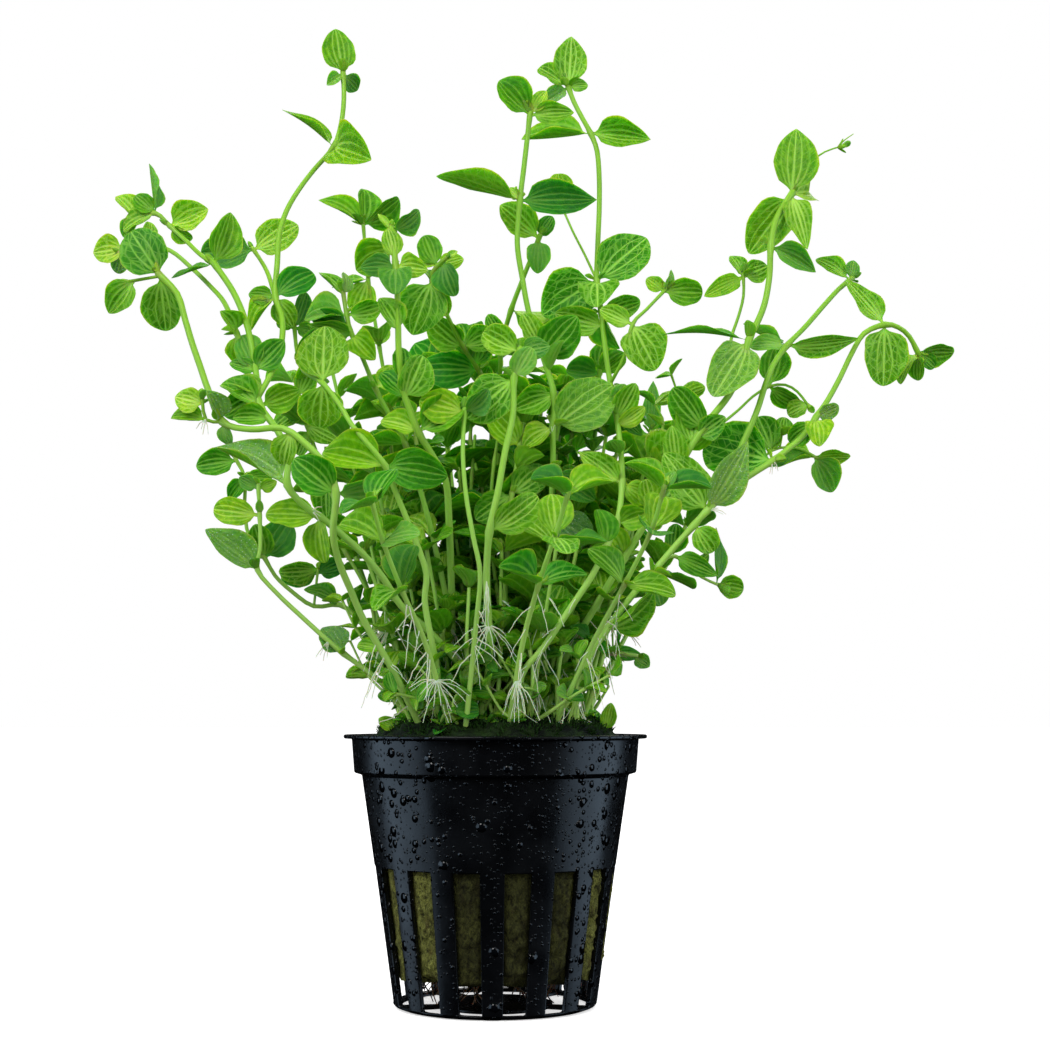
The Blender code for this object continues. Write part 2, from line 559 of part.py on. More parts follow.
def leaf_outline(share):
    """Half of the leaf's width at this share of its length, where the widest place is 1."""
    blade = max(0.0, (share - PETIOLE_SHARE) / (1 - PETIOLE_SHARE))
    widest = LEAF_BASE_POWER / (LEAF_BASE_POWER + LEAF_TIP_POWER)
    most = widest**LEAF_BASE_POWER * (1 - widest) ** LEAF_TIP_POWER
    return blade**LEAF_BASE_POWER * (1 - blade) ** LEAF_TIP_POWER / most


def leaf_point(pose, share, side, lift=0.0):
    """A point of the leaf's middle surface: cupped across, curled back along."""
    reach = side * leaf_outline(share)
    rise = pose.width * LEAF_CUP * reach**2 - LEAF_CURL * share**2
    across = pose.along.cross(pose.up)
    place = pose.along * share + across * (reach * pose.width / 2) + pose.up * rise
    return pose.base + place * pose.length + pose.up * lift


def leaf_mesh(pose, first=0.0, thicken=0.0):
    """A closed lens: a ring round the edge, with one point above its middle and one below."""
    simple = pose.plain or pose.length <= SMALL_LEAF
    shares = SMALL_LEAF_STATIONS if simple else LEAF_STATIONS
    ring = [leaf_point(pose, first, 0)]
    ring += [leaf_point(pose, share, 1) for share in shares]
    ring += [leaf_point(pose, 1.0, 0)]
    ring += [leaf_point(pose, share, -1) for share in reversed(shares)]
    thick = LEAF_HALF_THICKNESS + thicken
    points = ring + [leaf_point(pose, LEAF_MIDDLE, 0, thick), leaf_point(pose, LEAF_MIDDLE, 0, -thick)]
    count = len(ring)
    faces = []
    for i in range(count):
        following = (i + 1) % count
        faces.append((i, following, count))
        faces.append((following, i, count + 1))
    return points, faces


def seen_leaf(base, spec):
    """The pose of a leaf whose direction, length and roll are those of the front view."""
    angle = math.radians(spec.angle)
    tilt = math.radians(spec.tilt)
    along = Vector(
        (math.cos(angle) * math.cos(tilt), -math.sin(tilt), math.sin(angle) * math.cos(tilt))
    )
    facing = Vector((0, -1, 0))
    up = (facing - along * facing.dot(along)).normalized()
    up = Matrix.Rotation(math.radians(spec.roll), 3, along) @ up
    share = 1 + base.y / VIEW_DISTANCE
    return Pose(base, along, up, spec.length * share / math.cos(tilt), spec.width, False)


def paired_leaf(base, direction, spec, half_turn):
    """The pose of one leaf of an opposite pair, rising from the stem with its face up the stem."""
    sideways = direction.cross(Vector((0, 1, 0))).normalized()
    turn = math.radians(spec.turn + half_turn)
    outward = Matrix.Rotation(turn, 3, direction) @ sideways
    rise = math.radians(PAIR_RISE)
    along = outward * math.cos(rise) + direction * math.sin(rise)
    up = direction * math.cos(rise) - outward * math.sin(rise)
    return Pose(base, along, up, spec.length, spec.width, True)


def tried(pose, turn, scale):
    """The pose tilted towards the eye by this turn, and scaled."""
    axis = pose.along.cross(Vector((0, 1, 0)))
    if axis.length < SHORT_AXIS:
        axis = Vector((0, 0, 1))
    spin = Matrix.Rotation(math.radians(turn), 3, axis.normalized())
    return pose._replace(along=spin @ pose.along, up=spin @ pose.up, length=pose.length * scale)


def poses_on(stem_row):
    """The first choice of pose of every leaf on a stem, rooted between the stem's axis and its skin."""
    points = [station.point for station in stem_row.stations]
    for i, station in enumerate(stem_row.stations):
        direction = (points[min(i + 1, len(points) - 1)] - points[max(i - 1, 0)]).normalized()
        poses = []
        for spec in station.leaves:
            if isinstance(spec, Leaf):
                poses.append(seen_leaf(station.point, spec))
            else:
                poses.append(paired_leaf(station.point, direction, spec, 0))
                poses.append(paired_leaf(station.point, direction, spec, 180))
        for pose in poses:
            yield pose._replace(base=pose.base + pose.along * stem_row.thin * LEAF_ROOT)


def tube_mesh(points, thick, thin, sides):
    """A closed tube through the points, tapering from thick to thin."""
    last = len(points) - 1
    side = None
    verts = []
    for i, point in enumerate(points):
        direction = (points[min(i + 1, last)] - points[max(i - 1, 0)]).normalized()
        if side is None:
            side = direction.cross(Vector((0, 1, 0)))
        side = (side - direction * side.dot(direction)).normalized()
        other = direction.cross(side)
        radius = thick + (thin - thick) * i / last
        for k in range(sides):
            turn = math.tau * k / sides
            verts.append(point + (side * math.cos(turn) + other * math.sin(turn)) * radius)
    faces = [tuple(reversed(range(sides))), tuple(range(last * sides, (last + 1) * sides))]
    for i in range(last):
        for k in range(sides):
            following = (k + 1) % sides
            a, b = i * sides + k, i * sides + following
            faces.append((a, b, b + sides, a + sides))
    return verts, faces


def tree_of(mesh):
    return BVHTree.FromPolygons(*mesh)


def clear_scene():
    for obj in list(bpy.data.objects):
        bpy.data.objects.remove(obj, do_unlink=True)


def material(name, colour, roughness, specular=0.5):
    made = bpy.data.materials.new(name)
    made.use_nodes = True
    shader = made.node_tree.nodes["Principled BSDF"]
    shader.inputs["Base Color"].default_value = (*colour, 1)
    shader.inputs["Roughness"].default_value = roughness
    shader.inputs["Metallic"].default_value = 0.0
    shader.inputs["Specular IOR Level"].default_value = specular
    made.diffuse_color = (*colour, 1)
    return made


def new_object(name, mesh, finish):
    verts, faces = mesh
    data = bpy.data.meshes.new(name)
    data.from_pydata([Vector(v) * MM for v in verts], [], faces)
    data.update()
    if finish:
        data.materials.append(finish)
    made = bpy.data.objects.new(name, data)
    bpy.context.scene.collection.objects.link(made)
    return made


def helper(name, mesh):
    """A mesh that only feeds a Boolean."""
    made = new_object(name, mesh, None)
    made.hide_render = True
    made.display_type = "WIRE"
    return made


def unite(body, other):
    modifier = body.modifiers.new(other.name, "BOOLEAN")
    modifier.operation = "UNION"
    modifier.solver = "EXACT"
    modifier.object = other


def around(radius, height, degrees):
    """A point round the pot's axis, with 0 degrees at the front and turning to the right."""
    turn = math.radians(degrees)
    return Vector((radius * math.sin(turn), -radius * math.cos(turn), height))


def pot_mesh():
    """The net cup in 30 columns, ribs and slots by turns. Every third rib runs on as a spoke of the floor."""
    profile = [
        (FLOOR_DISC_RADIUS, 0), (BASE_RADIUS, 0), (ANKLE_RADIUS, ANKLE_HEIGHT),
        (SLOT_FOOT_RADIUS, SLOT_FOOT_HEIGHT),
        (SLOT_TOP_RADIUS, SLOT_TOP_HEIGHT), (SHOULDER_RADIUS, SHOULDER_HEIGHT),
        (COLLAR_FOOT_RADIUS, COLLAR_FOOT_HEIGHT), (COLLAR_TOP_RADIUS, POT_HEIGHT - RIM_THICKNESS),
        (RIM_RADIUS, POT_HEIGHT - RIM_THICKNESS), (RIM_RADIUS, POT_HEIGHT), (MOUTH_RADIUS, POT_HEIGHT),
        (SHOULDER_RADIUS - WALL, SHOULDER_HEIGHT), (SLOT_TOP_RADIUS - WALL, SLOT_TOP_HEIGHT),
        (SLOT_FOOT_RADIUS - WALL, SLOT_FOOT_HEIGHT), (BASE_RADIUS, FLOOR), (FLOOR_DISC_RADIUS, FLOOR),
    ]
    rings = len(profile)
    disc_top = rings - 1
    columns = 2 * SLOTS
    # The rings that bound the two kinds of opening: outer strip first, then the strip inside it
    slot_rings = (3, 4, 12, 13)
    floor_rings = (0, 1, 14, 15)
    slot_columns = [column % 2 == 0 for column in range(columns)]
    floor_columns = [column % (2 * RIBS_PER_SPOKE) != 1 for column in range(columns)]

    edges = []
    for i in range(SLOTS):
        centre = FIRST_SLOT + i * 360 / SLOTS
        edges += [centre - SLOT_ANGLE / 2, centre + SLOT_ANGLE / 2]
    verts = [around(radius, height, edge) for edge in edges for radius, height in profile]
    verts += [Vector((0, 0, 0)), Vector((0, 0, FLOOR))]
    under, over = len(verts) - 2, len(verts) - 1
    faces = []
    for column in range(columns):
        here = column * rings
        there = (column + 1) % columns * rings
        open_strips = set()
        for is_open, (a, b, c, d) in ((slot_columns, slot_rings), (floor_columns, floor_rings)):
            if is_open[column]:
                open_strips |= {a, c}
                for first, last in ((d, a), (b, c)):
                    faces.append((here + first, here + last, there + last, there + first))
            if is_open[column] != is_open[column - 1]:
                side = (d, c, b, a) if is_open[column] else (a, b, c, d)
                faces.append(tuple(here + ring for ring in side))
        for ring in range(rings - 1):
            if ring not in open_strips:
                faces.append((here + ring, there + ring, there + ring + 1, here + ring + 1))
        faces.append((under, there, here))
        faces.append((over, here + disc_top, there + disc_top))
    return verts, faces


def wool_mesh():
    """The wool plug: a plain tapered block that the pot's wall holds."""
    def wall_at(height):
        share = (height - SLOT_FOOT_HEIGHT) / (SHOULDER_HEIGHT - SLOT_FOOT_HEIGHT)
        return SLOT_FOOT_RADIUS + share * (SHOULDER_RADIUS - SLOT_FOOT_RADIUS) - WALL - GAP

    heights = (WOOL_FOOT, WOOL_MIDDLE, WOOL_TOP)
    verts = [
        around(wall_at(height), height, column * 360 / WOOL_COLUMNS)
        for height in heights
        for column in range(WOOL_COLUMNS)
    ]
    return verts, ring_faces(WOOL_COLUMNS, len(heights))


def ring_faces(columns, rings):
    """Faces of a closed stack of rings, with flat ends."""
    faces = [tuple(reversed(range(columns))), tuple(range((rings - 1) * columns, rings * columns))]
    for ring in range(rings - 1):
        for column in range(columns):
            following = (column + 1) % columns
            a, b = ring * columns + column, ring * columns + following
            faces += [(a, b, b + columns), (a, b + columns, a + columns)]
    return faces


def moss_mesh():
    """The moss: a low mound with lumps, wider than high."""
    rings = [(MOSS_PROFILE[0][0] - MOSS_FOOT_INSET, MOSS_FOOT)] + list(MOSS_PROFILE)
    verts = []
    for i, (radius, height) in enumerate(rings):
        for column in range(MOSS_COLUMNS):
            phase = MOSS_LUMP_PHASE_PER_RING * i + MOSS_LUMP_PHASE_PER_COLUMN * column
            lump = MOSS_LUMP * math.sin(phase) if i > 1 else 0
            verts.append(around(radius + lump, height + lump, column * 360 / MOSS_COLUMNS))
    faces = ring_faces(MOSS_COLUMNS, len(rings))
    top = len(verts)
    verts.append(Vector((0, 0, MOSS_CROWN)))
    last = (len(rings) - 1) * MOSS_COLUMNS
    del faces[1]
    for column in range(MOSS_COLUMNS):
        faces.append((last + column, last + (column + 1) % MOSS_COLUMNS, top))
    return verts, faces


def foot_on_moss(stem_row, points, moss_tree):
    """Where the stem's slanted foot stands just clear of the moss."""
    foot = moss_tree.ray_cast(Vector((points[0].x, points[0].y, ABOVE_PLANT)), Vector((0, 0, -1)))[0]
    lean = (points[1] - foot).normalized()
    thick = stem_row.thick + FOOT_GAP

    def touches():
        grown = tube_mesh([foot - lean * FOOT_GAP, points[1]], thick, thick, STEM_SIDES)
        return tree_of(grown).overlap(moss_tree)

    while touches():
        foot.z += FOOT_STEP
    return foot


def foot_at_fork(stem_row, points, earlier):
    """The first place along the stem that is clear of the shoot it leaves."""
    lean = (points[1] - points[0]).normalized()
    foot = points[0].copy()
    while any(tree.find_nearest(foot)[3] < stem_row.thick + GAP for tree in earlier):
        foot += lean * FORK_STEP
    return foot


def stem_tree(stem_row, points, clearance=0.0):
    return tree_of(tube_mesh(points, stem_row.thick + clearance, stem_row.thin + clearance, STEM_SIDES))


def grown_tubes(moss_tree):
    """Each stem of the table with its points, its foot set clear of what it grows from."""
    tubes = []
    trees = []
    for stem_row in STEMS:
        points = [station.point.copy() for station in stem_row.stations]
        if stem_row.start == "moss":
            points[0] = foot_on_moss(stem_row, points, moss_tree)
        elif stem_row.start == "fork":
            points[0] = foot_at_fork(stem_row, points, trees)
        else:
            points[0] -= (points[1] - points[0]).normalized() * stem_row.thin
        points[-1] += (points[-1] - points[-2]).normalized() * BUD_LENGTH
        tubes.append((stem_row, points))
        trees.append(stem_tree(stem_row, points))
    return tubes


class Space:
    """What fills the space so far: the moss, the pot, and each shoot by its node's name."""

    def __init__(self, moss_tree, pot_tree):
        self.moss = moss_tree
        self.pot = pot_tree
        self.stems = {}
        self.leaves = {}

    def add_stem(self, stem_row, points):
        self.stems.setdefault(stem_row.node, []).append(stem_tree(stem_row, points, STEM_CLEARANCE))
        self.leaves.setdefault(stem_row.node, [])

    def shoots_but(self, node):
        found = []
        for name, trees in self.stems.items():
            if name != node:
                found += trees + [whole for whole, _ in self.leaves[name]]
        return found

    def stem_is_clear(self, stem_row, points):
        grown = stem_tree(stem_row, points, STEM_CLEARANCE)
        return not any(grown.overlap(other) for other in [self.pot] + self.shoots_but(stem_row.node))

    def place_leaf(self, node, pose):
        """The first trial of this pose that is clear of every other shoot and of its own, or None."""
        others = [self.moss, self.pot] + self.shoots_but(node)
        own = [outer for _, outer in self.leaves[node]] + self.stems[node]
        for turn, scale in TRIALS:
            trial = tried(pose, turn, scale)
            whole = tree_of(leaf_mesh(trial, thicken=CLEARANCE))
            outer = tree_of(leaf_mesh(trial, first=LEAF_CLEAR_OF_STEM, thicken=CLEARANCE))
            if any(whole.overlap(other) for other in others) or any(outer.overlap(other) for other in own):
                continue
            self.leaves[node].append((whole, outer))
            return trial
        return None

    def place_leaves(self, stem_row):
        placed = [self.place_leaf(stem_row.node, pose) for pose in poses_on(stem_row)]
        return [pose for pose in placed if pose]


def grown_plant(moss_tree, pot_tree):
    """Each stem, its points and its leaves' poses: those of the table first, then the inner shoots."""
    space = Space(moss_tree, pot_tree)
    tubes = grown_tubes(moss_tree)
    for stem_row, points in tubes:
        space.add_stem(stem_row, points)
    grown = [(stem_row, points, space.place_leaves(stem_row)) for stem_row, points in tubes]
    for number in range(INNER_SHOOTS):
        for turned in inner_turns():
            stem_row = inner_shoot(number, turned)
            points = [station.point.copy() for station in stem_row.stations]
            points[0] = foot_on_moss(stem_row, points, moss_tree)
            points[-1] += (points[-1] - points[-2]).normalized() * BUD_LENGTH
            if space.stem_is_clear(stem_row, points):
                space.add_stem(stem_row, points)
                grown.append((stem_row, points, space.place_leaves(stem_row)))
                break
    return grown


def main():
    clear_scene()
    bpy.context.scene.unit_settings.system = "METRIC"
    black = material("black_plastic", (0.018, 0.02, 0.023), 0.35)
    olive = material("olive_wool", (0.16, 0.16, 0.05), 0.95, 0.2)
    dark_moss = material("dark_moss", (0.012, 0.03, 0.008), 0.9, 0.2)
    green = material("lindernia_green", (0.10, 0.32, 0.03), 0.45)

    pot = pot_mesh()
    wool = wool_mesh()
    moss = moss_mesh()
    new_object("net_pot", pot, black)
    new_object("rockwool_plug", wool, olive)
    new_object("moss_mat", moss, dark_moss)

    bodies = {}
    for number, (stem_row, points, poses) in enumerate(grown_plant(tree_of(moss), tree_of(pot))):
        tube = tube_mesh(points, stem_row.thick, stem_row.thin, STEM_SIDES)
        if stem_row.node not in bodies:
            bodies[stem_row.node] = new_object(stem_row.node, tube, green)
        else:
            unite(bodies[stem_row.node], helper(f"twig_{number}", tube))
        for place, pose in enumerate(poses):
            unite(bodies[stem_row.node], helper(f"leaf_{number}_{place}", leaf_mesh(pose)))


main()
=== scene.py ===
"""The looks of the potted lindernia rotundifolia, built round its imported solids.

Lengths are millimetres here and become metres when a mesh is made. Materials and lights are in metres.
The pot's axis is +Z, its base stands on z = 0, and the plant's front faces -Y.
"""

import math
import random
from collections import namedtuple
from functools import lru_cache
from itertools import count

import bpy
import numpy as np
from mathutils import Matrix, Vector, noise
from mathutils.kdtree import KDTree


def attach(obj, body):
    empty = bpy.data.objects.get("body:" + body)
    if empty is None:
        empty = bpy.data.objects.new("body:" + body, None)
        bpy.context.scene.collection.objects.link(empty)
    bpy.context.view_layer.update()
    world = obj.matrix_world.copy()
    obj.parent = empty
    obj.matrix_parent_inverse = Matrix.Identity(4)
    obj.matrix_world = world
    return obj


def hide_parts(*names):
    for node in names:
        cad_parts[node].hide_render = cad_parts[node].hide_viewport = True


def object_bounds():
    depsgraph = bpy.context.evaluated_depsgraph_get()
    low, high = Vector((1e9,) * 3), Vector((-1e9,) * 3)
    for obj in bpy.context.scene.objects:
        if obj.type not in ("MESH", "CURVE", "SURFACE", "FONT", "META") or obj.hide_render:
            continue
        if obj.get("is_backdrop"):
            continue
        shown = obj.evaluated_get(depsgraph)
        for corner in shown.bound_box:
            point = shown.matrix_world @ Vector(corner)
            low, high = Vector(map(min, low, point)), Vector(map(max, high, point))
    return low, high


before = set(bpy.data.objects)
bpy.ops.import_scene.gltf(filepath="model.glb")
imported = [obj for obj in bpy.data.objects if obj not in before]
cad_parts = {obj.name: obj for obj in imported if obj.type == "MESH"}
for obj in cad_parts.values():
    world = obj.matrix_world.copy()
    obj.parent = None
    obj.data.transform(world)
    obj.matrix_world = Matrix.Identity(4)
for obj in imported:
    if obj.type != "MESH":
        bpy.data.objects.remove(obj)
cad_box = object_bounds()

MM = 0.001

# The eye that the shoots' stations were read from: their places are seen in the plane y = 0
VIEW_DISTANCE = 360.0
VIEW_HEIGHT = 53.45

# The solids' leaf form, and the ways in which a leaf was tilted or made smaller there
LEAF_WIDTH = 0.78
LEAF_STATIONS = (0.28, 0.68)
SMALL_LEAF = 6.5
SMALL_LEAF_STATIONS = (0.42,)
LEAF_CUP = 0.26
LEAF_CURL = 0.10
LEAF_TIP_POWER = 0.8
LEAF_BASE_POWER = 0.5
PETIOLE_SHARE = 0.08
PAIR_RISE = 28.0
LEAF_ROOT = 0.55
SHORT_AXIS = 0.2
SAME_POINT = 0.03
MOSS_CROWN = 52.8

# Plain inner shoots that fan out from the moss, each turned about the pot's axis until it is clear
FIRST_INNER = 38
INNER_SHOOTS = 14
INNER_THICK = 0.6
INNER_THIN = 0.42
INNER_FOOT_RADIUS = 16.5
INNER_SPREAD = 0.75
INNER_TOPS = (112.0, 99.0, 106.0)
INNER_FRONT = -6.0
INNER_FRONT_TOP = 82.0
INNER_STEP = 12.5
INNER_BARE = 67.0
INNER_LEAF = 9.2
INNER_LEAF_WIDTH = 0.82
INNER_PAIR_TURN = 80.0
INNER_TURN_STEP = 4.0
INNER_TURNS = 30
GOLDEN_ANGLE = 137.508

# A leaf that would cross another shoot was tilted and made smaller: the turns and scales that were tried
TRIALS = (
    (0, 1.0), (12, 1.0), (-12, 1.0), (24, 1.0), (-24, 1.0), (36, 1.0), (-36, 1.0),
    (0, 0.8), (18, 0.8), (-18, 0.8), (40, 0.8), (-40, 0.8),
    (0, 0.6), (30, 0.6), (-30, 0.6), (55, 0.7), (-55, 0.7),
)

Leaf = namedtuple("Leaf", "angle length width tilt roll")
Pair = namedtuple("Pair", "length turn width")
Station = namedtuple("Station", "point leaves")
Stem = namedtuple("Stem", "node thick thin start stations")
Pose = namedtuple("Pose", "base along up length width plain")


def along_sight(across, height, away):
    """The point at this depth that the eye sees at (across, height) in the plane y = 0."""
    share = 1 + away / VIEW_DISTANCE
    return Vector((across * share, away, VIEW_HEIGHT + (height - VIEW_HEIGHT) * share))


def leaf(angle, length, width=LEAF_WIDTH, tilt=0.0, roll=0.0):
    """A leaf as it is seen: its direction and length in the front view, its tilt to the eye, its roll."""
    return Leaf(angle, length, width, tilt, roll)


def pair(length, turn=0.0, width=LEAF_WIDTH):
    """Two opposite leaves, turned about the stem."""
    return Pair(length, turn, width)


def at(across, height, away, *leaves):
    """One station of a stem, with the leaves that grow there."""
    return Station(along_sight(across, height, away), leaves)


def stem(node, thick, thin, *stations, start="moss"):
    """A stem from its foot to its tip. It starts in the moss, at a fork, or inside its own shoot."""
    return Stem(node, thick, thin, start, stations)


